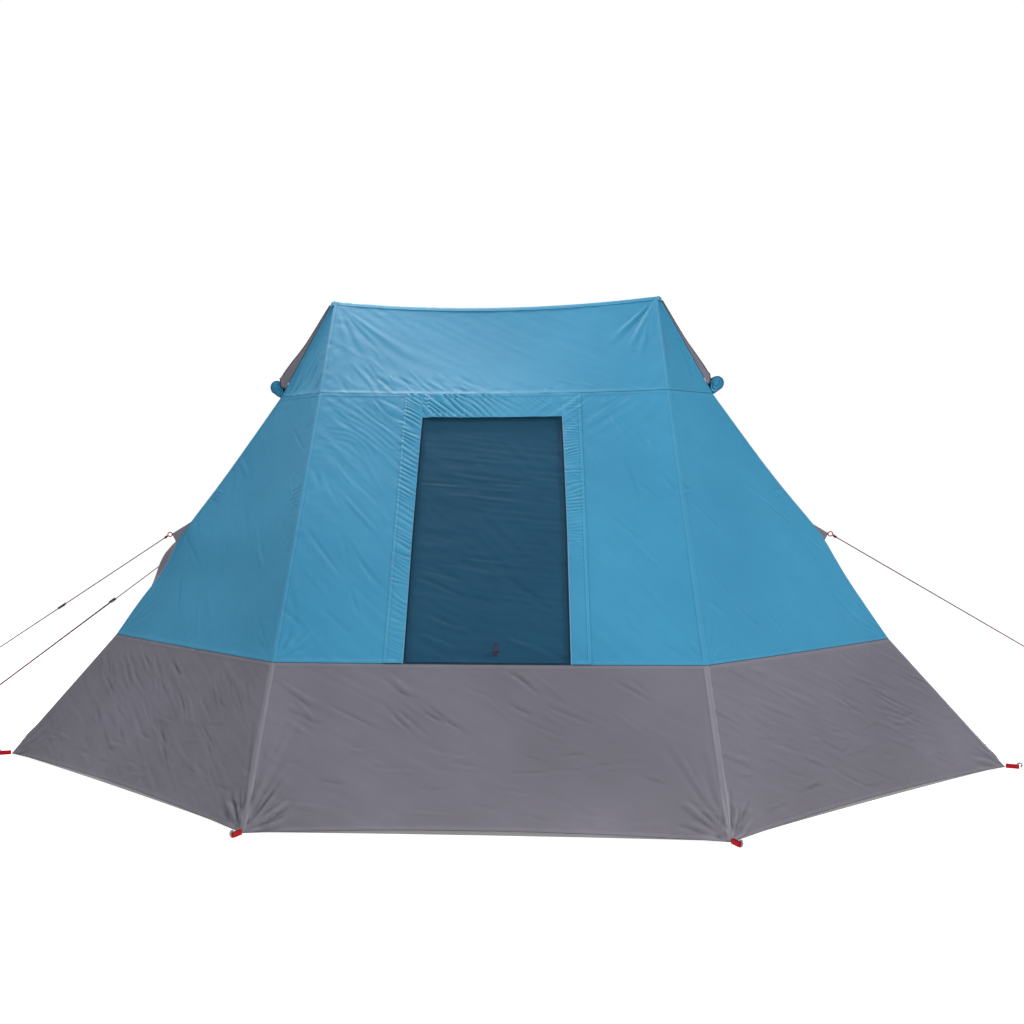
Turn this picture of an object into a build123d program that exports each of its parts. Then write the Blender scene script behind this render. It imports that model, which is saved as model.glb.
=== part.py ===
from build123d import *
import os
from math import cos, hypot, pi, radians, sin

os.makedirs("parts", exist_ok=True)

# A family tent with an eight-sided base and a fabric ridge between two upright poles.
# X runs along the ridge, the window is in the long wall at -Y, the door in the one at +Y.
# The origin is on the ground, at the middle of the base. Millimetres.

# ---- Driving dimensions ----
CLOTH = 2.5                    # thickness given to every cloth panel, measured level
SHEET = 3.0                    # groundsheet thickness
PEAK_Z = 2246.0                # height of the two peaks
SEAM_Z = 570.0                 # seam between the skirt and the walls
WAIST_Z = 1740.0               # seam between the walls and the roof
BASE_HALF_Y = 1830.0           # the long walls' distance from the middle at the hem
RIDGE_HALF_Y = 8.0             # half the width left for the ridge tape
POLE_X = 825.0                 # each pole's distance from the middle

# Each level of seams: height, the long wall's corner x, and the end wall's corner (x, y)
LEVELS = {
    "hem": (SHEET, 890.0, (2325.0, 560.0)),
    "seam": (SEAM_Z, 871.0, (1841.0, 446.0)),
    "waist": (WAIST_Z, 836.0, (1074.0, 177.0)),
    "peak": (PEAK_Z, POLE_X, (834.0, 4.5)),
}

# Window, in the long wall at -Y
WINDOW_HALF = 330.0
WINDOW_TOP_Z = 1624.0
FACING_HALF = 420.0            # outer edge of the facing strips beside the window
MESH = 1.2
CURTAIN_LAP = 12.0             # how far the curtain reaches past the opening
CURTAIN_INSET = 12.0           # how far inside the wall's outer face the curtain hangs
CURTAIN_LOW_Z = 588.0
CURTAIN_TOP_Z = 1650.0

# Door, in the long wall at +Y
DOOR_HALF = 420.0
DOOR_LOW_Z = 110.0
DOOR_TOP_Z = 1640.0
DOOR_GAP = 5.0

# Zips
ZIP_WIDE = 9.0
ZIP_THICK = 2.0
TRACK_INSIDE = -7.0            # the curtain's track lies this far behind the wall's outer face
CURTAIN_ZIP_GAP = 4.0          # between the curtain's edge and its track
DOOR_ZIP_GAP = 2.0
SLIDE_GAP = 0.4                # between a slider and its track
SLIDER_LONG = 26.0
SLIDER_WIDE = 11.0
SLIDER_HIGH = 5.0
PULL_LONG = 34.0
PULL_WIDE = 7.0
PULL_THICK = 3.0
PULL_DOWN = 9.0                # the pull's middle, below the slider's
EDGE_ROUND = 3.0

# Poles
TUBE_R = 11.0
BORE_R = 9.5
TUBE_LOW_Z = 8.0
JOINTS_Z = (742.0, 1478.0)
TUBE_TOP_Z = 2214.0
FERRULE_LONG = 160.0
FERRULE_SLACK = 0.1
SPIGOT_R = 3.5
FOOT_R = 14.0
FOOT_TOP_Z = 38.0
CAP_HALF_X = 26.0
CAP_HALF_Y = 19.0
CAP_HIGH = 9.0

# Vents in the end roofs
HOOD_LOW_Z = 1845.0
HOOD_OUT = 75.0                # how far the hood's lower edge stands off the end roof
HOOD_TOP_Z = 2225.0
HOOD_TOP_OUT = 8.0
HOOD_LAP = 4.0                 # how far the hood reaches past each side of the vent
HOOD_GAP = 0.5
ROLL_R = 40.0
ROLL_X = 1107.0
ROLL_Z = 1785.0
ROLL_LONG = 290.0
ROLL_ROUND = 12.0

# Guy lines
GUY_Z = 1055.0                 # height of the guy patches on the end seams
GUY_TURN = 14.0                # the guys splay this far from the X axis, in degrees
PATCH_THICK = 3.0
PATCH_OUTLINE = [(-47, 75), (63, 6), (63, -8), (42, -50)]    # (out from the seam, up)
LOOP_R = 13.0
LOOP_HOLE_R = 8.0
LOOP_THICK = 4.0
LOOP_OUT = 77.0                # loop's centre, out from the seam
LOOP_NECK_LONG = 6.0
LOOP_NECK_WIDE = 12.0
CORD_R = 2.5
CORD_GAP = 0.3                 # between the cord and what it starts at or goes round
PEG_R = 3.5
PEG_HOOK_R = 9.0
PEG_SHAFT_DOWN = 60.0          # the shaft is drawn this far down, then cut off at the ground
PEG_STRAIGHT = 16.0            # straight shaft between the cord or webbing and the hook
PEG_TIP = 7.0
HOOK_Z = 16.0                  # height at which a guy goes round its peg
BEND_R = PEG_R + CORD_R + CORD_GAP
RUNNER_LONG = 34.0
RUNNER_WIDE = 30.0
RUNNER_THICK = 11.0
RUNNER_HOLE_R = 2.9
RUNNER_ROUND = 3.0
TAIL = 22.0                    # cord standing out of the runner's upper end

# Each guy: sign of x, sign of y, level distance from loop to peg, runner's distance up from the peg
GUYS = {
    "front_left": (-1, -1, 1560.0, 1250.0),
    "back_left": (-1, 1, 1560.0, 1140.0),
    "front_right": (1, -1, 1720.0, 520.0),
}

# Corner pegs and their webbing loops
STRAP_LONG = 56.0              # a loop of webbing standing on its edge
STRAP_ACROSS = 14.0
STRAP_WIDE = 18.0
STRAP_THICK = 2.0
STRAP_GAP = 1.5                # between the webbing and the groundsheet's corner
CORNER_PEG_OUT = 44.0
CORNER_PEG_LEAN = 24.0         # degrees from upright
CORNER_PEG_Z = 6.0             # height at which the peg's line is CORNER_PEG_OUT from the corner
STRAP_TURNS = (66.0, 21.0)     # the loops' directions from X, at a long wall's and an end's corner

SIGNS = (-1, 1)
SIDE = {-1: "left", 1: "right"}
FACE = {-1: "front", 1: "back"}


def save(piece, label):
    piece.part.label = label
    export_step(piece.part, f"parts/{label}.step")


# ---- Outline of the shell ----
def long_wall_y(z):
    """Distance of a long wall's outer face from the middle, at a height."""
    share = (PEAK_Z - z) / (PEAK_Z - SHEET)
    return RIDGE_HALF_Y + (BASE_HALF_Y - RIDGE_HALF_Y) * share


def corners(level, inset=0.0):
    """The two corners of the shell in the quarter +X +Y, moved in by the cloth's thickness."""
    z, long_x, (end_x, end_y) = LEVELS[level]
    long_y = long_wall_y(z)
    across, down = end_x - long_x, long_y - end_y
    length = hypot(across, down)
    normal_x, normal_y = down / length, across / length
    near = (long_x - inset * (1 - normal_y) / normal_x, long_y - inset)
    far = (end_x - inset, end_y - inset * (1 - normal_x) / normal_y)
    return near, far


def end_corner(z):
    """Where the end wall's seam stands in the quarter +X +Y, at a height between seam and waist."""
    low_z, _, low = LEVELS["seam"]
    high_z, _, high = LEVELS["waist"]
    share = (z - low_z) / (high_z - low_z)
    return tuple(a + (b - a) * share for a, b in zip(low, high))


def front_quad(level, sy):
    (x, y), _ = corners(level)
    (xi, yi), _ = corners(level, CLOTH)
    return [(-x, sy * y), (x, sy * y), (xi, sy * yi), (-xi, sy * yi)]


def corner_quad(level, sx, sy):
    near, far = corners(level)
    near_in, far_in = corners(level, CLOTH)
    return [(sx * x, sy * y) for x, y in (near, far, far_in, near_in)]


def end_quad(level, sx):
    _, (x, y) = corners(level)
    _, (xi, yi) = corners(level, CLOTH)
    return [(sx * x, -y), (sx * x, y), (sx * xi, yi), (sx * xi, -yi)]


def strip_quad(z, sy, x0, x1, depth=0.0, thick=CLOTH):
    """A strip of a long wall from x0 to x1, starting depth inside the outer face."""
    y = long_wall_y(z) - depth
    return [(x0, sy * y), (x1, sy * y), (x1, sy * (y - thick)), (x0, sy * (y - thick))]


def side_strip_quad(level, sx, sy, inner_x):
    """The part of a long wall between inner_x and the corner, mitred at the corner."""
    (x, y), _ = corners(level)
    (xi, yi), _ = corners(level, CLOTH)
    return [(sx * inner_x, sy * y), (sx * x, sy * y), (sx * xi, sy * yi), (sx * inner_x, sy * yi)]


def cloth_panel(label, low_z, low, high_z, high):
    """A cloth panel between an outline at low_z and one at high_z."""
    with BuildPart() as panel:
        for z, outline in ((low_z, low), (high_z, high)):
            with BuildSketch(Plane.XY.offset(z)):
                with BuildLine():
                    Polyline(*outline, close=True)
                make_face()
        loft(ruled=True)
    save(panel, label)


def tier(label, low, high, quad, *where):
    """A panel of the shell between two levels, from the function that gives its outline."""
    cloth_panel(label, LEVELS[low][0], quad(low, *where), LEVELS[high][0], quad(high, *where))


def wall_strips(label, sy, low_z, high_z, spans, depth=0.0, thick=CLOTH):
    """Upright strips of a long wall, each from x0 to x1, as one node."""
    with BuildPart() as strips:
        for x0, x1 in spans:
            for z in (low_z, high_z):
                with BuildSketch(Plane.XY.offset(z)):
                    with BuildLine():
                        Polyline(*strip_quad(z, sy, x0, x1, depth, thick), close=True)
                    make_face()
            loft(ruled=True)
    save(strips, label)


# ---- Groundsheet ----
with BuildPart() as groundsheet:
    with BuildSketch():
        with BuildLine():
            near, far = corners("hem")
            quarter = [near, far]
            outline = quarter + [(x, -y) for x, y in reversed(quarter)]
            outline += [(-x, -y) for x, y in quarter] + [(-x, y) for x, y in reversed(quarter)]
            Polyline(*outline, close=True)
        make_face()
    extrude(amount=SHEET)
save(groundsheet, "groundsheet")

# ---- Skirt, walls and roof ----
tier("skirt_front", "hem", "seam", front_quad, -1)
for sx in SIGNS:
    tier(f"skirt_end_{SIDE[sx]}", "hem", "seam", end_quad, sx)
    tier(f"wall_end_{SIDE[sx]}", "seam", "waist", end_quad, sx)
    tier(f"vent_mesh_{SIDE[sx]}", "waist", "peak", end_quad, sx)
    tier(f"skirt_back_{SIDE[sx]}", "hem", "seam", side_strip_quad, sx, 1, DOOR_HALF)
    tier(f"wall_back_{SIDE[sx]}", "seam", "waist", side_strip_quad, sx, 1, DOOR_HALF)
    tier(f"wall_front_{SIDE[sx]}", "seam", "waist", side_strip_quad, sx, -1, FACING_HALF)
    for sy in SIGNS:
        place = f"{FACE[sy]}_{SIDE[sx]}"
        tier(f"skirt_corner_{place}", "hem", "seam", corner_quad, sx, sy)
        tier(f"wall_corner_{place}", "seam", "waist", corner_quad, sx, sy)
for sy in SIGNS:
    tier(f"roof_{FACE[sy]}", "waist", "peak", front_quad, sy)

with BuildPart() as roof_corners:
    for sx in SIGNS:
        for sy in SIGNS:
            for level in ("waist", "peak"):
                with BuildSketch(Plane.XY.offset(LEVELS[level][0])):
                    with BuildLine():
                        Polyline(*corner_quad(level, sx, sy), close=True)
                    make_face()
            loft(ruled=True)
save(roof_corners, "roof_corners")

# ---- Window ----
WINDOW_SPAN = [(-WINDOW_HALF, WINDOW_HALF)]
FACING_SPANS = [(-FACING_HALF, -WINDOW_HALF), (WINDOW_HALF, FACING_HALF)]
CURTAIN_HALF = WINDOW_HALF + CURTAIN_LAP
CURTAIN_SPAN = [(-CURTAIN_HALF, CURTAIN_HALF)]
wall_strips("window_facing_sides", -1, SEAM_Z, WAIST_Z, FACING_SPANS)
wall_strips("window_facing_top", -1, WINDOW_TOP_Z, WAIST_Z, WINDOW_SPAN)
wall_strips("window_mesh", -1, SEAM_Z, WINDOW_TOP_Z, WINDOW_SPAN, 0.0, MESH)
wall_strips("window_curtain", -1, CURTAIN_LOW_Z, CURTAIN_TOP_Z, CURTAIN_SPAN, CURTAIN_INSET)

# ---- Door ----
DOOR_SPAN = [(-DOOR_HALF, DOOR_HALF)]
FLAP_SPAN = [(DOOR_GAP - DOOR_HALF, DOOR_HALF - DOOR_GAP)]
wall_strips("door_sill", 1, SHEET, DOOR_LOW_Z, DOOR_SPAN)
wall_strips("door_header", 1, DOOR_TOP_Z, WAIST_Z, DOOR_SPAN)
wall_strips("door_flap", 1, DOOR_LOW_Z + DOOR_GAP, DOOR_TOP_Z - DOOR_GAP, FLAP_SPAN)

# ---- Planes of the two long walls: local x along the wall, local y up its slope ----
SLOPE = hypot(BASE_HALF_Y - RIDGE_HALF_Y, PEAK_Z - SHEET)
UP_Y = (BASE_HALF_Y - RIDGE_HALF_Y) / SLOPE      # how far a step up the slope moves in
UP_Z = (PEAK_Z - SHEET) / SLOPE


def wall_plane(sy, z, proud):
    """A plane on a long wall at a height, standing proud of its outer face."""
    y = long_wall_y(z) + proud * UP_Z
    normal = Vector(0, sy * UP_Z, UP_Y)
    return Plane(
        origin=(0, sy * y, z + proud * UP_Y), x_dir=(-sy, 0, 0), z_dir=normal
    )


def slope_length(low_z, high_z):
    return (high_z - low_z) / UP_Z


# ---- Zips ----
def zip_track(label, plane, low_z, high_z, half, gap, sides):
    """A track up the sides of a panel that open, and across its top."""
    long = slope_length(low_z, high_z)
    reach = half + gap + ZIP_WIDE / 2
    with BuildPart() as track:
        with BuildSketch(plane):
            with Locations(*[(side * reach, long / 2) for side in sides]):
                Rectangle(ZIP_WIDE, long)
            with Locations((0, long + ZIP_WIDE / 2)):
                Rectangle(2 * reach + ZIP_WIDE, ZIP_WIDE)
        extrude(amount=ZIP_THICK)
    save(track, label)


def zip_slider(label, plane, x, y):
    """A slider body with its pull tab lying on it."""
    with BuildPart() as slider:
        with BuildSketch(plane):
            with Locations((x, y)):
                RectangleRounded(SLIDER_WIDE, SLIDER_LONG, EDGE_ROUND)
        extrude(amount=SLIDER_HIGH)
        with BuildSketch(plane.offset(SLIDER_HIGH)):
            with Locations((x, y - PULL_DOWN)):
                RectangleRounded(PULL_WIDE, PULL_LONG, EDGE_ROUND)
        extrude(amount=PULL_THICK)
    save(slider, label)


# The curtain's track and slider are on the inside of the facing
curtain_base = wall_plane(-1, CURTAIN_LOW_Z, TRACK_INSIDE)
zip_track(
    "curtain_zip_track", curtain_base, CURTAIN_LOW_Z, CURTAIN_TOP_Z, CURTAIN_HALF, CURTAIN_ZIP_GAP, SIGNS
)
curtain_slider_plane = Plane(
    origin=curtain_base.offset(-SLIDE_GAP).origin, x_dir=curtain_base.x_dir, z_dir=-curtain_base.z_dir
)
curtain_slider_x = CURTAIN_HALF + CURTAIN_ZIP_GAP + ZIP_WIDE / 2
CURTAIN_SLIDER_UP = 50.0
zip_slider("curtain_zip_slider", curtain_slider_plane, -curtain_slider_x, -CURTAIN_SLIDER_UP)

# The door's zip is on the outside, up the side that opens and across the top
TRACK_PROUD = 0.2
DOOR_SLIDER_UP = 40.0
door_base = wall_plane(1, DOOR_LOW_Z, TRACK_PROUD)
zip_track("door_zip_track", door_base, DOOR_LOW_Z, DOOR_TOP_Z, DOOR_HALF, DOOR_ZIP_GAP, (-1,))
door_slider_plane = door_base.offset(ZIP_THICK + SLIDE_GAP)
door_slider_x = DOOR_HALF + DOOR_ZIP_GAP + ZIP_WIDE / 2
zip_slider("door_zip_slider", door_slider_plane, -door_slider_x, DOOR_SLIDER_UP)

# ---- Tie-backs: a webbing loop with a toggle bar across it ----
TIE_WIDE = 14.0
TIE_LONG = 60.0
TIE_THICK = 2.0
TIE_STRAND = 3.5
TIE_END = 6.0
TIE_PROUD = 0.3
TIE_ROUND = 5.0
TIE_HOLE_ROUND = 3.0
TOGGLE_R = 3.5
TOGGLE_LONG = 34.0
TOGGLE_UP = 16.0
WINDOW_TIE_X = 36.0
WINDOW_TIE_Z = 600.0
DOOR_TIE_X = DOOR_HALF + 52.0
DOOR_TIES_Z = (700.0, 1250.0)

tie_spots = [(wall_plane(-1, WINDOW_TIE_Z, TIE_PROUD), WINDOW_TIE_X)]
tie_spots += [(wall_plane(1, z, TIE_PROUD), DOOR_TIE_X) for z in DOOR_TIES_Z]
with BuildPart() as ties:
    for plane, x in tie_spots:
        with BuildSketch(plane):
            with Locations((x, TIE_LONG / 2)):
                RectangleRounded(TIE_WIDE, TIE_LONG, TIE_ROUND)
                hole = (TIE_WIDE - 2 * TIE_STRAND, TIE_LONG - 2 * TIE_END)
                RectangleRounded(*hole, TIE_HOLE_ROUND, mode=Mode.SUBTRACT)
        extrude(amount=TIE_THICK)
        toggle_end = (x - TOGGLE_LONG / 2, TOGGLE_UP, TIE_THICK + TOGGLE_R)
        with BuildSketch(Plane(origin=plane.from_local_coords(toggle_end), z_dir=plane.x_dir)):
            Circle(TOGGLE_R)
        extrude(amount=TOGGLE_LONG)
save(ties, "tie_backs")

# ---- Poles: two upright steel poles, each of three tubes joined by inner ferrules ----
POLE_SPOTS = [(sx * POLE_X, 0) for sx in SIGNS]


def tubes(label, low_z, high_z, outer_r, inner_r):
    with BuildPart() as pair:
        with BuildSketch(Plane.XY.offset(low_z)):
            with Locations(*POLE_SPOTS):
                Circle(outer_r)
                Circle(inner_r, mode=Mode.SUBTRACT)
        extrude(amount=high_z - low_z)
    save(pair, label)


cuts = (TUBE_LOW_Z, *JOINTS_Z, TUBE_TOP_Z)
for label, low_z, high_z in zip(("lower", "middle", "upper"), cuts, cuts[1:]):
    tubes(f"pole_{label}_sections", low_z, high_z, TUBE_R, BORE_R)

FERRULE_R = BORE_R - FERRULE_SLACK
FERRULE_WALL = 1.5
with BuildPart() as ferrules:
    for z in JOINTS_Z:
        with BuildSketch(Plane.XY.offset(z - FERRULE_LONG / 2)):
            with Locations(*POLE_SPOTS):
                Circle(FERRULE_R)
                Circle(FERRULE_R - FERRULE_WALL, mode=Mode.SUBTRACT)
        extrude(amount=FERRULE_LONG)
save(ferrules, "pole_ferrules")

with BuildPart() as feet:
    with BuildSketch(Plane.XY.offset(SHEET)):
        with Locations(*POLE_SPOTS):
            Circle(FOOT_R)
    extrude(amount=FOOT_TOP_Z - SHEET)
    with BuildSketch(Plane.XY.offset(TUBE_LOW_Z)):
        with Locations(*POLE_SPOTS):
            Circle(TUBE_R)
    extrude(amount=FOOT_TOP_Z - TUBE_LOW_Z, mode=Mode.SUBTRACT)
save(feet, "pole_feet")

PLUG_LONG = 30.0
with BuildPart() as spigots:
    with BuildSketch(Plane.XY.offset(TUBE_TOP_Z - PLUG_LONG)):
        with Locations(*POLE_SPOTS):
            Circle(FERRULE_R)
    extrude(amount=PLUG_LONG)
    with BuildSketch(Plane.XY.offset(TUBE_TOP_Z)):
        with Locations(*POLE_SPOTS):
            Circle(SPIGOT_R)
    extrude(amount=PEAK_Z - TUBE_TOP_Z)
save(spigots, "pole_spigots")

# ---- Ridge tape and peak caps ----
TAPE_GAP = 1.0
TAPE_LAP = 3.0
CAP_ROUND = 10.0
CAP_CHAMFER = 3.0
with BuildPart() as ridge_tape:
    with BuildSketch(Plane.XY.offset(PEAK_Z)):
        Rectangle(2 * (POLE_X - CAP_HALF_X - TAPE_GAP), 2 * (RIDGE_HALF_Y + TAPE_LAP))
    extrude(amount=CLOTH)
save(ridge_tape, "ridge_tape")

with BuildPart() as caps:
    with BuildSketch(Plane.XY.offset(PEAK_Z)):
        with Locations(*POLE_SPOTS):
            RectangleRounded(2 * CAP_HALF_X, 2 * CAP_HALF_Y, CAP_ROUND)
    extrude(amount=CAP_HIGH)
    chamfer(caps.faces().group_by(Axis.Z)[-1].edges(), length=CAP_CHAMFER)
save(caps, "peak_caps")

# ---- Vent hoods and rolled vent covers ----
def vent_edge(z):
    """The end roof's outer corner in the quarter +X +Y, between waist and peak."""
    low_z, _, low = LEVELS["waist"]
    high_z, _, high = LEVELS["peak"]
    share = (z - low_z) / (high_z - low_z)
    return tuple(a + (b - a) * share for a, b in zip(low, high))


def hood_outline(z, sx, out, inset):
    x, y = vent_edge(z)
    base = x + HOOD_GAP
    width = y + HOOD_LAP - inset
    return [
        (sx * base, -width), (sx * (x + out - inset), -width),
        (sx * (x + out - inset), width), (sx * base, width),
    ]


for sx in SIGNS:
    with BuildPart() as hood:
        for inset, action in ((0.0, Mode.ADD), (CLOTH, Mode.SUBTRACT)):
            for z, out in ((HOOD_LOW_Z, HOOD_OUT), (HOOD_TOP_Z, HOOD_TOP_OUT)):
                with BuildSketch(Plane.XY.offset(z)):
                    with BuildLine():
                        Polyline(*hood_outline(z, sx, out, inset), close=True)
                    make_face()
            loft(ruled=True, mode=action)
    save(hood, f"vent_hood_{SIDE[sx]}")

    with BuildPart() as roll:
        with BuildSketch(Plane.XZ.offset(-ROLL_LONG / 2)):
            with Locations((sx * ROLL_X, ROLL_Z)):
                Circle(ROLL_R)
        extrude(amount=ROLL_LONG)
        fillet(roll.edges(), radius=ROLL_ROUND)
    save(roll, f"vent_cover_{SIDE[sx]}")


# ---- Guy lines, with their patches, loops, runners and pegs ----
def guy_frame(sx, sy):
    """Outward level direction, level direction across it, and the seam point of a guy."""
    out = Vector(sx * cos(radians(GUY_TURN)), sy * sin(radians(GUY_TURN)), 0)
    across = Vector(0, 0, 1).cross(out)
    x, y = end_corner(GUY_Z)
    return out, across, Vector(sx * x, sy * y, GUY_Z)


with BuildPart() as patches:
    for sx in SIGNS:
        for sy in SIGNS:
            out, across, seam = guy_frame(sx, sy)
            upright = Plane(origin=seam, x_dir=out, z_dir=-across)
            with BuildSketch(upright):
                with BuildLine():
                    Polyline(*PATCH_OUTLINE, close=True)
                make_face()
            extrude(amount=PATCH_THICK / 2, both=True)
save(patches, "guy_patches")

with BuildPart() as loops:
    for sx in SIGNS:
        for sy in SIGNS:
            out, across, seam = guy_frame(sx, sy)
            upright = Plane(origin=seam + out * LOOP_OUT, x_dir=out, z_dir=-across)
            with BuildSketch(upright):
                Circle(LOOP_R)
                with Locations((LOOP_NECK_LONG / 3 - LOOP_R, 0)):
                    Rectangle(LOOP_NECK_LONG, LOOP_NECK_WIDE)
                Circle(LOOP_HOLE_R, mode=Mode.SUBTRACT)
            extrude(amount=LOOP_THICK / 2, both=True)
save(loops, "guy_loops")


def peg(hook, along, up):
    """A hooked wire peg driven at a slant: along points away from the tent, up is its shaft."""
    plane = Plane(origin=hook, x_dir=along, z_dir=along.cross(up))
    reach = 2 * PEG_HOOK_R
    with BuildPart() as wire_peg:
        with BuildLine(plane) as wire:
            Line((0, -PEG_SHAFT_DOWN), (0, PEG_STRAIGHT))
            top = (PEG_HOOK_R, PEG_STRAIGHT + PEG_HOOK_R)
            ThreePointArc((0, PEG_STRAIGHT), top, (reach, PEG_STRAIGHT))
            Line((reach, PEG_STRAIGHT), (reach, PEG_STRAIGHT - PEG_TIP))
        with BuildSketch(Plane(origin=wire.line @ 0, z_dir=wire.line % 0)):
            Circle(PEG_R)
        sweep()
        split(bisect_by=Plane.XY, keep=Keep.TOP)
    return wire_peg.part


ARC_SLACK = 0.02               # keeps a short straight run between the two arcs at the peg
guy_peg_parts = []
print("guy lines' bend radius", BEND_R - ARC_SLACK, "in a cord of", 2 * CORD_R)
for name, (sx, sy, reach, runner_at) in GUYS.items():
    out, across, seam = guy_frame(sx, sy)
    loop = seam + out * LOOP_OUT
    hook = Vector(seam.X, seam.Y, 0) + out * (LOOP_OUT + reach) + Vector(0, 0, HOOK_Z)
    # The cord's main strand runs straight from the loop, past one side of the peg
    turn = hook - across * BEND_R
    down = (turn - loop).normalized()
    up = across.cross(down)
    if up.Z < 0:
        up = -up
    start = loop + down * (LOOP_R + CORD_GAP)
    first = turn + down * BEND_R
    second = first + across * (2 * BEND_R)
    end = second - down * (BEND_R + runner_at + TAIL)
    with BuildPart() as cord:
        with BuildLine() as route:
            FilletPolyline(start, first, second, end, radius=BEND_R - ARC_SLACK)
        with BuildSketch(Plane(origin=route.line @ 0, z_dir=route.line % 0)):
            Circle(CORD_R)
        sweep()
    print(name, "start", start, "turn", first, second, "end", end)
    long = sum(edge.length for edge in route.edges())
    print(name, "length", long, "volume ratio", cord.part.volume / (long * pi * CORD_R**2))
    save(cord, f"guy_line_{name}")

    with BuildPart() as runner:
        middle = turn - down * runner_at + across * BEND_R
        with BuildSketch(Plane(origin=middle, x_dir=across, z_dir=down)):
            RectangleRounded(RUNNER_WIDE, RUNNER_THICK, RUNNER_ROUND)
            with Locations((-BEND_R, 0), (BEND_R, 0)):
                Circle(RUNNER_HOLE_R, mode=Mode.SUBTRACT)
        extrude(amount=RUNNER_LONG / 2, both=True)
    print(name, "runner slides along", down)
    save(runner, f"guy_runner_{name}")

    guy_peg_parts.append(peg(hook, down, up))

with BuildPart() as guy_pegs:
    add(guy_peg_parts)
save(guy_pegs, "guy_pegs")

# ---- Webbing loops and pegs at the eight base corners ----
corner_spots = []
for sx in SIGNS:
    for sy in SIGNS:
        for (x, y), turn in zip(corners("hem"), STRAP_TURNS):
            angle = radians(turn)
            spot = Vector(sx * x, sy * y, 0)
            corner_spots.append((spot, Vector(sx * cos(angle), sy * sin(angle), 0)))

with BuildPart() as straps:
    for spot, out in corner_spots:
        with BuildSketch(Plane(origin=spot, x_dir=out, z_dir=(0, 0, 1))):
            with Locations((STRAP_LONG / 2 + STRAP_GAP, 0)):
                SlotOverall(STRAP_LONG, STRAP_ACROSS)
                hole_across = STRAP_ACROSS - 2 * STRAP_THICK
                SlotOverall(STRAP_LONG - 2 * STRAP_THICK, hole_across, mode=Mode.SUBTRACT)
        extrude(amount=STRAP_WIDE)
save(straps, "corner_loops")

corner_peg_parts = []
for spot, out in corner_spots:
    lean = radians(CORNER_PEG_LEAN)
    up = out * sin(lean) + Vector(0, 0, cos(lean))
    along = out * cos(lean) - Vector(0, 0, sin(lean))
    hook = spot + out * CORNER_PEG_OUT + Vector(0, 0, CORNER_PEG_Z)
    corner_peg_parts.append(peg(hook, along, up))

with BuildPart() as corner_pegs:
    add(corner_peg_parts)
save(corner_pegs, "corner_pegs")
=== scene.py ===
from math import cos, hypot, pi, radians, sin

import bpy
import numpy as np
from mathutils import Matrix, Vector


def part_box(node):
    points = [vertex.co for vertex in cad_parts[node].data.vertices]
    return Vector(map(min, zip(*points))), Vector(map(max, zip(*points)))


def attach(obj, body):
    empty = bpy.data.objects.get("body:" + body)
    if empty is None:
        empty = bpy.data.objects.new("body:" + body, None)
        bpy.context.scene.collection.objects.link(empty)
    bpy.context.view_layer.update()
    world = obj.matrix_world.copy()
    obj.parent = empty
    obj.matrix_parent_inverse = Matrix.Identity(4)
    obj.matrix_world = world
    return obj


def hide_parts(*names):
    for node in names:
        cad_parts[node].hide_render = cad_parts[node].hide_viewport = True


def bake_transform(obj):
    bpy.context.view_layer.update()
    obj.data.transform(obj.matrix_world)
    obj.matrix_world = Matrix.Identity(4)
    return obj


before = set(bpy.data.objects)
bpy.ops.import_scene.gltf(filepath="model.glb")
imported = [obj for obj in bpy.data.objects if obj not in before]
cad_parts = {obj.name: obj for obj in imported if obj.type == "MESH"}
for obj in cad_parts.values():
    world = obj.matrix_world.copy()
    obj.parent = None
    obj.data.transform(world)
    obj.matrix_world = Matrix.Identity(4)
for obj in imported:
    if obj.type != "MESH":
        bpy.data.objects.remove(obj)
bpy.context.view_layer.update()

# A family tent: an eight-sided shell of sewn cloth, a ridge between two poles, a netted window,
# a zipped door, hooded vents and guy lines. Metres. Each cloth panel lies on the shell that the
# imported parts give, and its folds and seams are worked out here.

# ---- Driving dimensions ----
RIDGE_HALF_Y = 0.008
VENT_TOP = (0.834, 0.0045)     # end wall's corner at the peak
POLE_RADIUS = 0.011
RIDGE_SAG = 0.045
WAIST_SAG = 0.014
HEM_ARCH = 0.020               # how far a hem rises between its pegs
HEM_BOW = 0.012                # and how far it draws in
SEAM_BAND = 0.015              # width of the folded cloth along a seam
SEAM_RISE = 0.0005
FACING_LIFT = 0.002
GUY_PULL = {(-1, -1): 0.020, (-1, 1): 0.018, (1, -1): 0.034, (1, 1): 0.006}
GUY_TUCK = {(-1, -1): 0.018, (-1, 1): 0.012, (1, -1): 0.002, (1, 1): 0.0}
GUY_Z = 1.06
TUCK_Z = 0.88                  # height at which a seam sinks in again below its guy
GUY_TURN = radians(14.0)
GUY_SPAN = 0.20                # height over which a guy pulls its seam out
CREASE_BEND = 60.0             # curvature, in 1/m, at which a crease is fully shaded
CREASE_SHADE = 0.34
# how much painted highlight the tops of creases get
CREASE_HIGHLIGHT = 0.26
GATHER_STEP = 0.005
FINE_STEP = 0.008
MID_STEP = 0.014

UP = np.array((0.0, 0.0, 1.0))


# ---- Camera ----
CAMERA_PLACE = (0.1608, -6.171, 1.2572)
CAMERA_TURNS = (-0.0773, -0.0162, -0.0036)     # yaw, pitch and roll, in radians
LENS = 42.19
LENS_SHIFT = 0.0767


def add_object(name, data):
    made = bpy.data.objects.new(name, data)
    bpy.context.scene.collection.objects.link(made)
    return made


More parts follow.
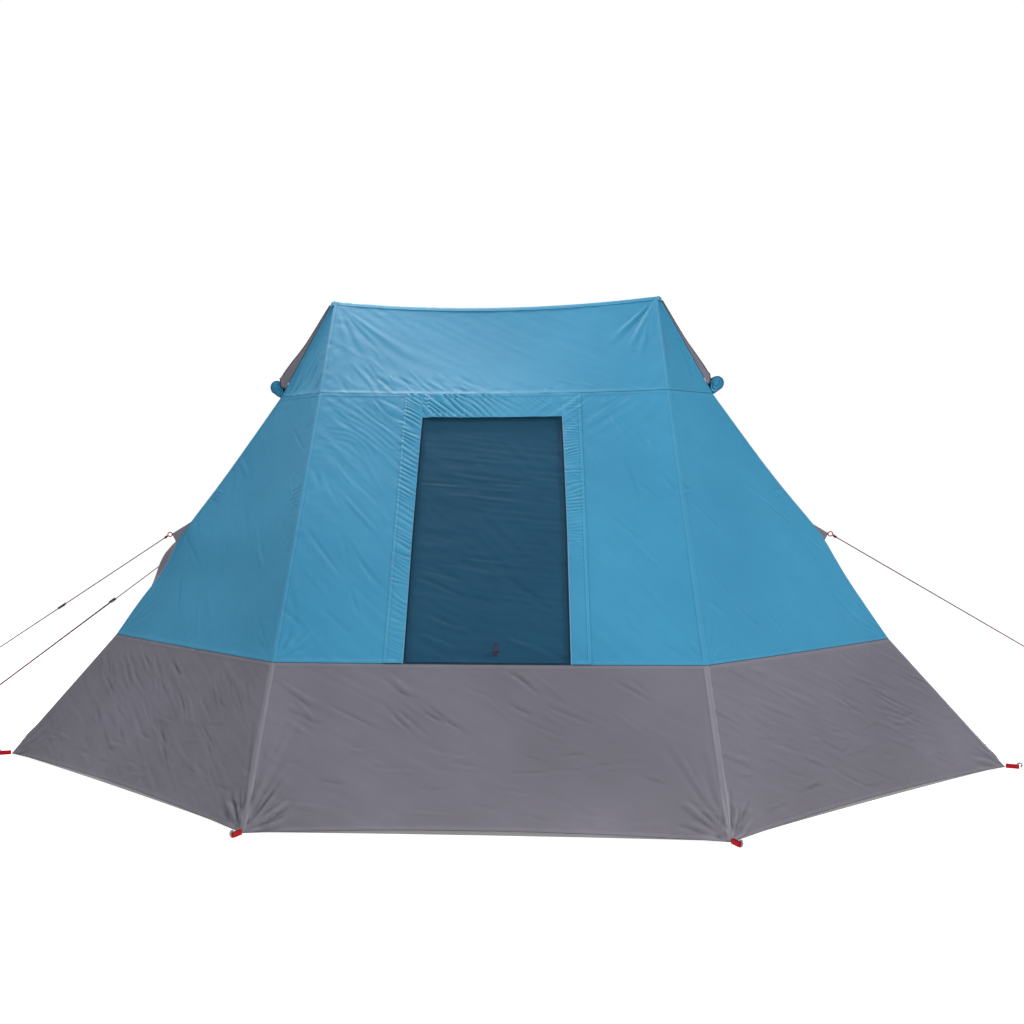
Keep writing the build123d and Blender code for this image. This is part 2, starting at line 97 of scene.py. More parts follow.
def make_camera():
    yaw, pitch, roll = CAMERA_TURNS
    forward = Vector((sin(yaw) * cos(pitch), cos(yaw) * cos(pitch), sin(pitch)))
    right = Vector((cos(yaw), -sin(yaw), 0.0))
    above = right.cross(forward)
    turned_right = right * cos(roll) + above * sin(roll)
    turned_up = above * cos(roll) - right * sin(roll)
    data = bpy.data.cameras.new("camera")
    data.sensor_width = 36.0
    data.lens = LENS
    data.shift_x = LENS_SHIFT
    camera = add_object("camera", data)
    turn = Matrix((turned_right, turned_up, -forward)).transposed()
    camera.matrix_world = Matrix.Translation(CAMERA_PLACE) @ turn.to_4x4()
    bpy.context.scene.camera = camera


make_camera()


# ---- Material helpers ----
def linear(red, green, blue):
    """A colour given in display values from 0 to 255."""
    parts = [c / 255 for c in (red, green, blue)]
    return (*[c / 12.92 if c <= 0.04045 else ((c + 0.055) / 1.055) ** 2.4 for c in parts], 1.0)


class Shader:
    """A material's node tree, with short calls for the nodes used here."""

    def __init__(self, name, roughness=0.6, metallic=0.0, sheen=0.0, specular=0.5):
        self.material = bpy.data.materials.new(name)
        self.material.use_nodes = True
        self.tree = self.material.node_tree
        self.main = self.tree.nodes["Principled BSDF"]
        self.set(self.main, {"Roughness": roughness, "Metallic": metallic})
        self.set(self.main, {"Sheen Weight": sheen, "Specular IOR Level": specular})

    def set(self, node, values):
        for socket, value in values.items():
            if isinstance(value, bpy.types.NodeSocket):
                self.tree.links.new(value, node.inputs[socket])
            else:
                node.inputs[socket].default_value = value

    def node(self, kind, settings=(), **values):
        node = self.tree.nodes.new("ShaderNode" + kind)
        for key, value in dict(settings).items():
            setattr(node, key, value)
        self.set(node, {key.replace("_", " "): value for key, value in values.items()})
        return node

    def attribute(self, name):
        return self.node("Attribute", {"attribute_name": name}).outputs["Fac"]

    def place(self):
        return self.node("TexCoord").outputs["Object"]

    def cloth_place(self):
        return self.node("TexCoord").outputs["UV"]

    def math(self, operation, a, b=0.0, c=0.0):
        node = self.node("Math", {"operation": operation})
        self.set(node, {0: a, 1: b, 2: c})
        return node.outputs[0]

    def times(self, a, b):
        return self.math("MULTIPLY", a, b)

    def wave(self, value, pitch):
        return self.math("SINE", self.times(value, 2 * pi / pitch))

    def axes(self, where):
        return self.node("SeparateXYZ", Vector=where).outputs

    def noise(self, scale, detail=3.0, where=None, roughness=0.5):
        where = where or self.place()
        made = self.node("TexNoise", Vector=where, Scale=scale, Detail=detail, Roughness=roughness)
        return made.outputs["Fac"]

    def stretched(self, where, scale):
        return self.node("Mapping", Vector=where, Scale=scale).outputs["Vector"]

    def ramp(self, value, low, high, from_low=0.0, from_high=1.0):
        node = self.node("MapRange", Value=value)
        self.set(node, {"From Min": from_low, "From Max": from_high, "To Min": low, "To Max": high})
        return node.outputs["Result"]

    def mix(self, share, a, b, how="MIX"):
        node = self.node("Mix", {"data_type": "RGBA", "blend_type": how})
        node.clamp_factor = True
        self.set(node, {0: share, 6: a, 7: b})
        return node.outputs[2]

    def stripe(self, distance, centre, half):
        """One within half of centre, falling to nothing at twice that."""
        off = self.math("ABSOLUTE", self.math("SUBTRACT", distance, centre))
        return self.ramp(off, 1.0, 0.0, half, 2 * half)

    def bump(self, height, strength, distance):
        node = self.node("Bump", Height=height, Strength=strength, Distance=distance)
        self.set(self.main, {"Normal": node.outputs["Normal"]})

    def colour(self, value):
        self.set(self.main, {"Base Color": value})


THREAD_PITCH = 0.0011
STITCH_PITCH = 0.0042
STITCH_ROWS = (0.0035, 0.0125)  # each row of stitches' distance from the seam line
STITCH_HALF = 0.0004
DUST = (142, 134, 122)


def weave(shader, pitch):
    """Over-and-under threads, from 0 to 1, on the cloth's own measure."""
    split = shader.axes(shader.cloth_place())
    crossed = shader.times(shader.wave(split["X"], pitch), shader.wave(split["Y"], pitch))
    return shader.ramp(crossed, 0.0, 1.0, -1.0, 1.0)


def cloth_material(
    name, tint, dark, thread, pitch=THREAD_PITCH, roughness=0.50, dusty=0.0, sewn=True, pale=0.07
):
    """Coated polyester: a fine weave, folded seams with two rows of stitches, and soft creases. Seams get
    painted shadow lines and a pale band of painted highlight; creases get painted shade in their valleys
    and painted highlight on their tops, in the thread colour.
    """
    shader = Shader(name, roughness, sheen=0.03, specular=0.18)
    cloth = shader.cloth_place() if sewn else shader.place()
    broad = shader.noise(1.7, 2.0)
    cloudy = shader.noise(9.0, 4.0, cloth)
    tone = shader.mix(shader.ramp(broad, 0.0, 1.0, 0.3, 0.7), linear(*tint), linear(*dark))
    spots = shader.ramp(cloudy, 0.0, 0.35, 0.45, 0.75)
    tone = shader.mix(spots, tone, linear(*dark))
    threads = weave(shader, pitch)
    tone = shader.mix(shader.ramp(threads, 0.0, 0.12), tone, (0.0, 0.0, 0.0, 1.0))
    edge = shader.attribute("edge") if sewn else 1.0
    along = shader.attribute("along") if sewn else 0.0
    upright = shader.attribute("upright") if sewn else 0.0
    # painted shadow: a level seam gets one dark line, an upright one a pale band of painted highlight with
    # lines of painted shadow at its edges
    # painted shadow along the seam line and along the edge of the folded band
    seam_groove_shadow = shader.times(shader.stripe(edge, 0.0, 0.0016), shader.ramp(upright, 0.70, 0.15))
    fold_shadow_stripe = shader.stripe(edge, SEAM_BAND + 0.001, 0.0018)
    fold_edge_shadow = shader.times(fold_shadow_stripe, shader.ramp(upright, 0.02, 0.20))
    shadow = shader.math("MAXIMUM", seam_groove_shadow, fold_edge_shadow)
    # painted highlight: the folded band beside a seam is made paler, most of all on upright seams
    folded = shader.ramp(edge, pale, 0.0, SEAM_BAND, SEAM_BAND + 0.002)
    band = shader.times(folded, shader.ramp(upright, 0.3, 1.0))
    seam_highlight_tone = shader.mix(band, tone, linear(*thread))
    tone = shader.mix(shadow, seam_highlight_tone, linear(*[c * 0.35 for c in dark]))
    stitched = shader.ramp(shader.wave(along, STITCH_PITCH), 0.0, 1.0, -0.3, -0.1)
    rows = shader.math("MAXIMUM", *[shader.stripe(edge, row, STITCH_HALF) for row in STITCH_ROWS])
    stitches = shader.times(shader.times(rows, stitched), 0.6)
    tone = shader.mix(stitches, tone, linear(*thread))
    if dusty:
        dust = shader.times(shader.attribute("low"), shader.noise(14.0, 6.0))
        tone = shader.mix(shader.times(dust, dusty), tone, linear(*DUST))
    # painted shade darkens the creases at their bottom, and painted highlight makes their tops paler
    crease = shader.attribute("crease")
    valley = shader.ramp(crease, 0.0, CREASE_SHADE, 0.04, 1.0)
    tone = shader.mix(valley, tone, linear(*[c * 0.5 for c in dark]))
    tone = shader.mix(shader.ramp(crease, CREASE_HIGHLIGHT, 0.0, -1.0, -0.04), tone, linear(*thread))
    shader.colour(tone)
    fine = shader.noise(55.0, 5.0, cloth, 0.6)
    crumpled = shader.times(shader.noise(16.0, 3.0, cloth), 1.6)
    height = shader.math("ADD", shader.times(fine, 0.5), shader.times(threads, 0.08))
    height = shader.math("ADD", height, crumpled)
    height = shader.math("ADD", height, shader.times(stitches, 0.35))
    shader.bump(height, 0.35, 0.0016)
    rough = shader.ramp(shader.noise(30.0, 3.0, cloth), roughness - 0.06, roughness + 0.10, 0.3, 0.7)
    shader.set(shader.main, {"Roughness": rough})
    return shader.material


def net_material(name, tint, pitch, share):
    """Insect net: dark threads with holes between them."""
    shader = Shader(name, 0.8, specular=0.08)
    split = shader.axes(shader.cloth_place())
    lines = [shader.ramp(shader.wave(split[axis], pitch), 0.0, 1.0, 0.6, 0.9) for axis in ("X", "Y")]
    edge = shader.ramp(shader.attribute("edge"), 1.0, 0.0, 0.010, 0.011)
    solid = shader.math("MAXIMUM", lines[0], lines[1])
    solid = shader.ramp(solid, share, 1.0)
    solid = shader.math("MAXIMUM", solid, edge)
    tone = shader.mix(shader.noise(240.0), linear(*tint), linear(*[c * 0.7 for c in tint]))
    shader.colour(tone)
    shader.set(shader.main, {"Alpha": solid})
    shader.bump(shader.math("ADD", lines[0], lines[1]), 0.4, 0.0006)
    return shader.material


def webbing_material(name, tint, dark, size):
    """Ribbed woven tape, its ribs along the object's own axes."""
    shader = Shader(name, 0.72, sheen=0.02, specular=0.12)
    split = shader.axes(shader.place())
    ribs = shader.wave(shader.math("ADD", split["X"], split["Y"]), size)
    woven = shader.ramp(shader.times(ribs, shader.wave(split["Z"], size / 2)), 0.0, 1.0, -1.0, 1.0)
    tone = shader.mix(woven, linear(*dark), linear(*tint))
    tone = shader.mix(shader.ramp(shader.noise(120.0, 4.0), 0.0, 0.3, 0.5, 0.8), tone, linear(*dark))
    shader.colour(tone)
    shader.bump(woven, 0.6, size * 0.3)
    return shader.material


def cord_material(name, tint, dark, fleck):
    """A braided cord with a light fleck thread in it."""
    shader = Shader(name, 0.65, sheen=0.02, specular=0.12)
    split = shader.axes(shader.place())
    one = shader.math("ADD", split["X"], split["Z"])
    other = shader.math("SUBTRACT", split["X"], split["Z"])
    strands = [shader.wave(value, 0.004) for value in (one, other)]
    braid = shader.ramp(shader.times(*strands), 0.0, 1.0, -1.0, 1.0)
    tone = shader.mix(braid, linear(*dark), linear(*tint))
    flecks = shader.ramp(shader.wave(one, 0.021), 0.0, 0.5, 0.9, 1.0)
    shader.colour(shader.mix(flecks, tone, linear(*fleck)))
    shader.bump(braid, 0.7, 0.0008)
    return shader.material


def metal_material(name, tint, dark, roughness, along=(40.0, 40.0, 3.0)):
    """Drawn steel: streaks along its length, and a few rubbed or rusty marks."""
    shader = Shader(name, roughness, metallic=1.0)
    streaks = shader.noise(6.0, 5.0, shader.stretched(shader.place(), along))
    tone = shader.mix(shader.ramp(streaks, 0.0, 1.0, 0.35, 0.7), linear(*tint), linear(*dark))
    marks = shader.ramp(shader.noise(38.0, 6.0), 0.0, 0.6, 0.62, 0.75)
    shader.colour(shader.mix(marks, tone, linear(*[c * 0.6 for c in dark])))
    shader.set(shader.main, {"Roughness": shader.ramp(streaks, roughness - 0.08, roughness + 0.14)})
    shader.bump(streaks, 0.15, 0.0005)
    return shader.material


def plastic_material(name, tint, dark, roughness):
    """Moulded plastic or rubber with a fine grained face and scuffs."""
    shader = Shader(name, roughness, specular=0.45)
    grain = shader.noise(900.0, 3.0)
    scuffs = shader.ramp(shader.noise(60.0, 6.0), 0.0, 0.5, 0.6, 0.8)
    tone = shader.mix(grain, linear(*dark), linear(*tint))
    shader.colour(shader.mix(scuffs, tone, linear(*[c * 0.5 + 60 for c in tint])))
    shader.bump(grain, 0.3, 0.0003)
    return shader.material


def zip_material(name, tape, teeth):
    """Zip tape with a row of coil teeth down its middle."""
    shader = Shader(name, 0.6, specular=0.4)
    split = shader.axes(shader.place())
    coil = shader.math("MAXIMUM", *[shader.wave(split[axis], 0.0026) for axis in ("Z", "X")])
    tone = shader.mix(shader.ramp(coil, 0.0, 1.0, 0.2, 0.6), linear(*tape), linear(*teeth))
    shader.colour(tone)
    shader.bump(coil, 0.6, 0.0008)
    return shader.material


# the thread colours serve the stitches, and also the painted highlight on seam bands and crease tops
BLUE, BLUE_DARK, BLUE_THREAD_AND_HIGHLIGHT = (53, 130, 165), (46, 121, 156), (80, 154, 187)
FACING = (57, 134, 168)
GREY, GREY_DARK, GREY_THREAD_AND_HIGHLIGHT = (107, 105, 116), (95, 93, 102), (129, 127, 136)


def make_materials():
    return {
        "blue_cloth": cloth_material("blue_cloth", BLUE, BLUE_DARK, BLUE_THREAD_AND_HIGHLIGHT),
        "grey_cloth": cloth_material("grey_cloth", GREY, GREY_DARK, GREY_THREAD_AND_HIGHLIGHT, dusty=0.08, pale=0.4),
        "facing_cloth": cloth_material("facing_cloth", FACING, BLUE_DARK, BLUE_THREAD_AND_HIGHLIGHT),
        "curtain_cloth": cloth_material("curtain_cloth", (45, 112, 147), (39, 102, 137), (58, 125, 159)),
        "ground_cloth": cloth_material(
            "ground_cloth", (150, 150, 154), (128, 128, 132), (165, 165, 168), 0.0022, dusty=0.6
        ),
        "pale_binding": webbing_material("pale_binding", (98, 146, 176), (70, 120, 152), 0.003),
        "dark_piping": webbing_material("dark_piping", (70, 68, 74), (46, 44, 50), 0.003),
        "plain_blue": cloth_material("plain_blue", BLUE, BLUE_DARK, BLUE_THREAD_AND_HIGHLIGHT, sewn=False),
        "plain_grey": cloth_material("plain_grey", GREY, GREY_DARK, GREY_THREAD_AND_HIGHLIGHT, sewn=False),
        "insect_mesh": net_material("insect_mesh", (18, 52, 72), 0.0014, 0.10),
        "zip_tape": zip_material("zip_tape", (34, 62, 84), (60, 92, 116)),
        "zip_metal": metal_material("zip_metal", (150, 152, 156), (96, 98, 102), 0.35),
        "tie_cord": webbing_material("tie_cord", (70, 46, 46), (42, 28, 28), 0.004),
        "pole_steel": metal_material("pole_steel", (168, 172, 176), (130, 134, 138), 0.34),
        "foot_rubber": plastic_material("foot_rubber", (34, 34, 36), (22, 22, 24), 0.75),
        "spigot_plastic": plastic_material("spigot_plastic", (40, 40, 42), (28, 28, 30), 0.5),
        "red_webbing": webbing_material("red_webbing", (184, 14, 26), (116, 6, 14), 0.0036),
        "guy_cord": cord_material("guy_cord", (118, 26, 36), (44, 16, 22), (150, 120, 118)),
        "runner_plastic": plastic_material("runner_plastic", (38, 34, 34), (24, 22, 22), 0.42),
        "peg_steel": metal_material("peg_steel", (152, 154, 158), (110, 110, 112), 0.4),
    }


MATERIALS = make_materials()


def dress(piece, slot, body="tent"):
    """Gives a piece the material that slot names, and the body that it rides on."""
    piece.data.materials.clear()
    piece.data.materials.append(MATERIALS[slot])
    if body:
        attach(piece, body)
    return piece


# ---- Guy lines ----
# Each line's route: out of the loop, down to its peg, round it, and back up to its runner
ROUTES = {
    "front_left": [
        (-1.60852, -0.355754, 1.04763), (-3.0938, -0.71972, 0.02914),
        (-3.12006, -0.726149, 0.01112), (-3.11702, -0.738373, 0.01112),
        (-3.09075, -0.73194, 0.02914), (-2.08164, -0.484662, 0.721105),
    ],
    "back_left": [
        (-1.6085, 0.355841, 1.04763), (-3.09079, 0.731782, 0.02914),
        (-3.117, 0.738432, 0.01112), (-3.12006, 0.726206, 0.01112),
        (-3.09384, 0.719556, 0.02914), (-2.1755, 0.486647, 0.660129),
    ],
    "front_right": [
        (1.6088, -0.355914, 1.04812), (3.24549, -0.770359, 0.02825),
        (3.27245, -0.777187, 0.01145), (3.27551, -0.764961, 0.01145),
        (3.24854, -0.758133, 0.02825), (2.81847, -0.64923, 0.296242),
    ],
}
CORD_WIDE = 0.005


def line_data(name, kind, points, radius):
    """A round line on points: a third-order spline (NURBS), or straight between them (POLY)."""
    data = bpy.data.curves.new(name, "CURVE")
    data.dimensions = "3D"
    data.bevel_depth = radius
    data.bevel_resolution = 2
    spline = data.splines.new(kind)
    spline.points.add(len(points) - 1)
    for control, point in zip(spline.points, points):
        control.co = (*point, 1.0)
    if kind == "NURBS":
        spline.order_u = 3
        spline.use_endpoint_u = True
    return data


def smooth(mesh):
    mesh.polygons.foreach_set("use_smooth", np.ones(len(mesh.polygons), bool))


def meshed(name, data):
    """A piece with the mesh of a round line."""
    line = add_object(name + "_line", data)
    bpy.context.view_layer.update()
    mesh = bpy.data.meshes.new_from_object(line)
    bpy.data.objects.remove(line)
    smooth(mesh)
    return add_object(name, mesh)


def cord_curve(name, points):
    data = line_data(name, "NURBS", points, CORD_WIDE / 2)
    data.bevel_resolution = 3
    data.resolution_u = 16
    data.use_fill_caps = True
    return add_object(name, data)


def knot(name, centre, direction, turns=3.0, size=0.0052):
    """A small knot: a cord's end wound round itself."""
    axis = Vector(direction).normalized()
    side = axis.orthogonal().normalized()
    other = axis.cross(side)
    path = []
    for step in range(int(turns * 12) + 1):
        angle = step / 12 * 2 * pi
        share = step / (turns * 12)
        radius = size * (0.75 + 0.25 * cos(angle * 0.5))
        offset = axis * ((share - 0.5) * 0.016 + 0.002 * sin(angle * 1.5))
        path.append(Vector(centre) + offset + (side * cos(angle) + other * sin(angle)) * radius)
    return meshed(name, line_data(name + "_line", "NURBS", path, CORD_WIDE * 0.46))


def make_guy_lines():
    for name, points in ROUTES.items():
        line = dress(cord_curve(f"line_{name}", points), "guy_cord")
        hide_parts(f"guy_line_{name}")
        start, peg_side = Vector(points[0]), Vector(points[1])
        down = (peg_side - start).normalized()
        loop_knot = dress(knot(f"loop_knot_{name}", start + down * 0.010, down), "guy_cord")
        tail_end = Vector(points[-1])
        tail_knot = dress(knot(f"tail_knot_{name}", tail_end + down * 0.004, down, 2.0), "guy_cord")


make_guy_lines()


# ---- The shell's seams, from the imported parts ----
def shell_levels():
    """At each level: height, the long wall's corner (x, y) and the end wall's corner (x, y)."""
    low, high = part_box("skirt_front")
    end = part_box("skirt_end_right")[1]
    wall_low, wall_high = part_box("wall_front_right")
    wall_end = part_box("wall_end_right")[1]
    roof_low, roof_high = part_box("roof_front")
    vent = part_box("vent_mesh_right")[1]
    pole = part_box("pole_middle_sections")[1].x - POLE_RADIUS
    return {
        "hem": (low.z, (high.x, -low.y), (end.x, end.y)),
        "seam": (high.z, (wall_high.x, -wall_low.y), (wall_end.x, wall_end.y)),
        "waist": (roof_low.z, (roof_high.x, -roof_low.y), (vent.x, vent.y)),
        "peak": (roof_high.z, (pole, RIDGE_HALF_Y), VENT_TOP),
    }


LEVELS = shell_levels()
TIERS = {"skirt": ("hem", "seam"), "wall": ("seam", "waist"), "roof": ("waist", "peak")}

# The eight corners in order, anticlockwise from above: which corner, sign of x, sign of y
RING = [
    ("long", -1, -1), ("long", 1, -1), ("end", 1, -1), ("end", 1, 1),
    ("long", 1, 1), ("long", -1, 1), ("end", -1, 1), ("end", -1, -1),
]
FACETS = [
    "front", "corner_front_right", "end_right", "corner_back_right",
    "back", "corner_back_left", "end_left", "corner_front_left",
]


def ring_point(level, index):
    z, long_corner, end_corner = LEVELS[level]
    which, sx, sy = RING[index % 8]
    x, y = long_corner if which == "long" else end_corner
    return np.array((sx * x, sy * y, z))


def hump(share):
    return 4 * share * (1 - share)


def level_edge(level, index, share):
    """How a level seam of a facet leaves the straight line between its corners."""
    a, b = ring_point(level, index), ring_point(level, index + 1)
    long = np.linalg.norm(b - a)
    inward = np.cross(UP, b - a) / max(long, 1e-6)
    rise, draw = {
        "hem": (HEM_ARCH, HEM_BOW), "seam": (-0.004, 0.006), "waist": (-WAIST_SAG, 0.006),
        "peak": (-RIDGE_SAG, 0.0),
    }[level]
    size = min(1.0, long / 1.6) ** 2
    return hump(share)[..., None] * (UP * rise + inward * draw) * size


def upright_edge(tier, index, share):
    """How an upright seam leaves the straight line between its corners, as a guy pulls it."""
    which, sx, sy = RING[index % 8]
    low, high = TIERS[tier]
    if which == "long" or tier != "wall":
        return np.zeros((*share.shape, 3))
    z = LEVELS[low][0] + (LEVELS[high][0] - LEVELS[low][0]) * share
    pull = GUY_PULL[(sx, sy)] * np.exp(-np.abs((z - GUY_Z) / GUY_SPAN) ** 1.5)
    pull = pull - GUY_TUCK[(sx, sy)] * near(z, TUCK_Z, 0.12)
    out = np.array((sx * cos(GUY_TURN), sy * sin(GUY_TURN), 0.0))
    return (pull * np.minimum(1, hump(share) * 3))[..., None] * out


# ---- Folds ----
def crease(s, t, x0, y0, x1, y1, width, height, flare=0.0):
    """A soft fold along a line, fading at both ends, wider towards its far end by flare."""
    dx, dy = x1 - x0, y1 - y0
    long = hypot(dx, dy)
    share = np.clip(((s - x0) * dx + (t - y0) * dy) / long**2, 0, 1)
    off = ((t - y0) * dx - (s - x0) * dy) / long
    ratio = (off / (width * (1 - flare / 2 + flare * share))) ** 2
    return height * np.sin(pi * share) ** 0.8 * (1 - 0.7 * ratio) * np.exp(-0.5 * ratio)


def fan(s, t, x, y, aim, spread, reach, height, count, seed, width=0.012):
    """Folds that run out of a pegged or pulled corner. Angles in degrees."""
    random = np.random.default_rng(seed)
    total = np.zeros(s.shape)
    for index in range(count):
        angle = radians(aim + spread * ((index + random.uniform(0.15, 0.85)) / count * 2 - 1))
        long = reach * random.uniform(0.45, 1.0)
        begin = random.uniform(0.0, 0.04)
        x0, y0 = x + begin * cos(angle), y + begin * sin(angle)
        x1, y1 = x + long * cos(angle), y + long * sin(angle)
        size = height * random.uniform(0.4, 1.0) * random.choice((-1, 1, 1))
        total += crease(s, t, x0, y0, x1, y1, width * random.uniform(0.7, 1.5), size, 1.4)
    return total


def scatter(s, t, box, aim, spread, long, width, height, count, seed):
    """Separate folds strewn over a region: box is (x0, y0, x1, y1)."""
    random = np.random.default_rng(seed)
    total = np.zeros(s.shape)
    for _ in range(count):
        x, y = random.uniform(box[0], box[2]), random.uniform(box[1], box[3])
        angle = radians(aim + random.uniform(-spread, spread))
        half = long * random.uniform(0.5, 1.2) / 2
        dx, dy = half * cos(angle), half * sin(angle)
        size = height * random.uniform(0.35, 1.0) * random.choice((-1, 1))
        total += crease(s, t, x - dx, y - dy, x + dx, y + dy, width * random.uniform(0.6, 1.6), size)
    return total


def strewn(total, s, t, rows):
    """Adds a scatter for each row of what scatter is given after s and t."""
    for row in rows:
        total = total + scatter(s, t, *row)
    return total


def cloudy(s, t, size, seed):
    """Smooth seeded noise from about -1 to 1 on squares of a size, or (across, up) sizes."""
    across, up = size if isinstance(size, tuple) else (size, size)
    table = np.random.default_rng(seed).uniform(-1, 1, (64, 64))
    x, y = s / across + 31.3, t / up + 17.7
    i, j = np.floor(x).astype(int), np.floor(y).astype(int)
    u, v = x - i, y - j
    u, v = u * u * (3 - 2 * u), v * v * (3 - 2 * v)

    def at(a, b):
        return table[(i + a) % 64, (j + b) % 64]

    low = at(0, 0) * (1 - u) + at(1, 0) * u
    high = at(0, 1) * (1 - u) + at(1, 1) * u
    return low * (1 - v) + high * v


def turned(s, t, angle):
    c, n = cos(radians(angle)), sin(radians(angle))
    return s * c + t * n, t * c - s * n


def pulled(s, t, angle, size, height, seed):
    """Fine tension wrinkles: noise drawn out along an angle, in degrees."""
    along, across = turned(s, t, angle)
    first = cloudy(along, across, (size * 7, size), seed)
    second = cloudy(along, across, (size * 4, size * 0.55), seed + 1)
    return height * ((1 - 2 * np.abs(first)) * 0.7 + 0.35 * second)


def ruffles(s, t, angle, pitch, height, seed):
    """Uneven gathers across an angle, in degrees."""
    along, across = turned(s, t, angle)
    drift = cloudy(along, across, (0.20, 0.06), seed) * pitch * 1.5
    uneven = 0.56 + 0.44 * cloudy(along, across, (0.06, 0.030), seed + 1)
    wave = 2 * np.abs(np.sin(pi * (across + drift) / pitch)) ** 0.8 - 1
    return height * uneven * wave


def near(value, centre, reach):
    return np.exp(-((value - centre) / reach) ** 2)


def fade(value, start, end):
    """From one at start to nothing at end."""
    share = np.clip((value - start) / (end - start), 0, 1)
    return 1 - share * share * (3 - 2 * share)


# ---- Each facet's folds: s across from its middle, t up its slope, in metres ----
def front_wall_folds(s, t, wide, high):
    beside = np.clip((np.abs(s) - 0.37) / 0.05, 0, 1)
    pinched = near(s, -0.47, 0.26) * near(t, high - 0.16, 0.24) * beside
    total = pinched * ruffles(s, t, -40, 0.030, 0.0036, 11)
    total += near(s, 0.50, 0.25) * near(t, high - 0.1, 0.2) * pulled(s, t, 222, 0.025, 0.0022, 12)
    total += pulled(s, t, -50, 0.05, 0.0013, 13) * fade(np.abs(s), 1.2, 1.6)
    total = strewn(total, s, t, [
        ((-0.85, 0.1, -0.45, 1.1), -58, 18, 0.28, 0.008, 0.0026, 18, 14),
        ((0.45, 0.1, 0.85, 1.4), -66, 20, 0.24, 0.008, 0.0024, 20, 15),
    ])
    total += fan(s, t, -wide / 2 + 0.01, 0.0, 60, 32, 0.26, 0.0020, 7, 16, 0.008)
    total += fan(s, t, wide / 2 - 0.01, 0.0, 120, 32, 0.30, 0.0020, 8, 17, 0.008)
    return total


def corner_wall_folds(s, t, wide, high, seed):
    total = pulled(s, t, -55, 0.09, 0.0016, seed)
    total += scatter(s, t, (-0.6, 0.1, 0.6, high - 0.1), -50, 16, 0.28, 0.010, 0.0028, 22, seed + 1)
    total += fan(s, t, -wide / 2, 0.0, 55, 30, 0.35, 0.0022, 6, seed + 2, 0.008)
    total += fan(s, t, wide / 2, 0.0, 125, 30, 0.35, 0.0026, 6, seed + 3, 0.008)
    for side in (-1, 1):
        # gathers where the cloth was eased along the upright seam
        gathered = near(s, side * 0.34, 0.05) * near(t, 0.58 * high, 0.06)
        total += gathered * ruffles(s, t, side * 5, 0.026, 0.0050, seed + 4)
    return total


def end_wall_folds(s, t, wide, high, seed, puff=0.0):
    total = pulled(s, t, 80, 0.05, 0.0014, seed)
    for side in (-1, 1):
        edge = side * 0.36
        total += fan(s, t, edge, 0.40 * high, 90 + side * 90, 42, 0.34, 0.0045, 8, seed + 2 + side, 0.009)
        # below its guy the cloth hangs slack and puffs out beside the seam
        total += puff * near(s, side * 0.305, 0.05) * near(t, 0.29 * high, 0.13)
    return total


def skirt_folds(s, t, wide, high, seed, strength=1.0):
    total = pulled(s, t, -28, 0.035, 0.0013, seed)
    for side in (-1, 1):
        corner = side * wide / 2
        up, tight = 90 + side * 18, 90 + side * 48
        total += fan(s, t, corner, 0.0, up, 12, 0.55, 0.0056 * strength, 5, seed + 10 + side, 0.008)
        total += fan(s, t, corner, 0.0, tight, 40, 0.24, 0.0068 * strength, 12, seed + 30 + side, 0.006)
    reach = wide / 2 - 0.1
    upper, lower = (-reach, high - 0.30, reach, high - 0.04), (-reach, 0.05, reach, 0.38)
    return strewn(total, s, t, [
        (upper, -36, 12, 0.22, 0.007, 0.0042, 30, seed + 1),
        (lower, -4, 14, 0.19, 0.006, 0.0036, 32, seed + 2),
    ])


def corner_skirt_folds(s, t, wide, high, seed):
    total = skirt_folds(s, t, wide, high, seed, 1.25)
    total += pulled(s, t, -30, 0.026, 0.0016, seed + 50)
    return total + scatter(s, t, (-0.6, 0.08, 0.6, high - 0.08), -30, 9, 0.24, 0.006, 0.0042, 40, seed + 51)


def roof_folds(s, t, wide, high, seed):
    total = pulled(s, t, -35, 0.05, 0.0008, seed)
    total += fan(s, t, -wide / 2 + 0.03, high - 0.02, -60, 20, 0.60, 0.0026, 6, seed + 1, 0.012)
    total += fan(s, t, wide / 2 - 0.03, high - 0.02, 246, 20, 0.50, 0.0034, 7, seed + 2, 0.010)
    return strewn(total, s, t, [
        ((-0.76, 0.02, -0.45, 0.30), -60, 12, 0.20, 0.007, 0.0028, 14, seed + 5),
        ((-0.55, 0.0, -0.10, 0.12), -46, 12, 0.17, 0.006, 0.0032, 24, seed + 3),
        ((-0.15, 0.0, 0.75, 0.10), -35, 18, 0.14, 0.007, 0.0024, 16, seed + 4),
    ])


def back_roof_folds(s, t, wide, high, seed):
    return roof_folds(-s, t, wide, high, seed)


def vent_folds(s, t, wide, high, seed):
    return pulled(s, t, 90, 0.03, 0.0010, seed)


def corner_roof_folds(s, t, wide, high, seed):
    folds = scatter(s, t, (-0.15, 0.0, 0.15, 0.5), 84, 12, 0.30, 0.010, 0.0046, 14, seed + 1)
    return pulled(s, t, 88, 0.03, 0.0014, seed) + folds


# Facets with folds of their own: the function, and the numbers it is given after wide and high
FOLDS = {
    ("wall", "front"): (front_wall_folds,), ("wall", "back"): (front_wall_folds,),
    ("roof", "front"): (roof_folds, 210), ("roof", "back"): (back_roof_folds, 240),
    ("skirt", "front"): (skirt_folds, 300), ("skirt", "back"): (skirt_folds, 320),
    ("roof", "end_right"): (vent_folds, 260), ("roof", "end_left"): (vent_folds, 270),
}
END_PUFF = {"end_left": 0.045, "end_right": 0.0}


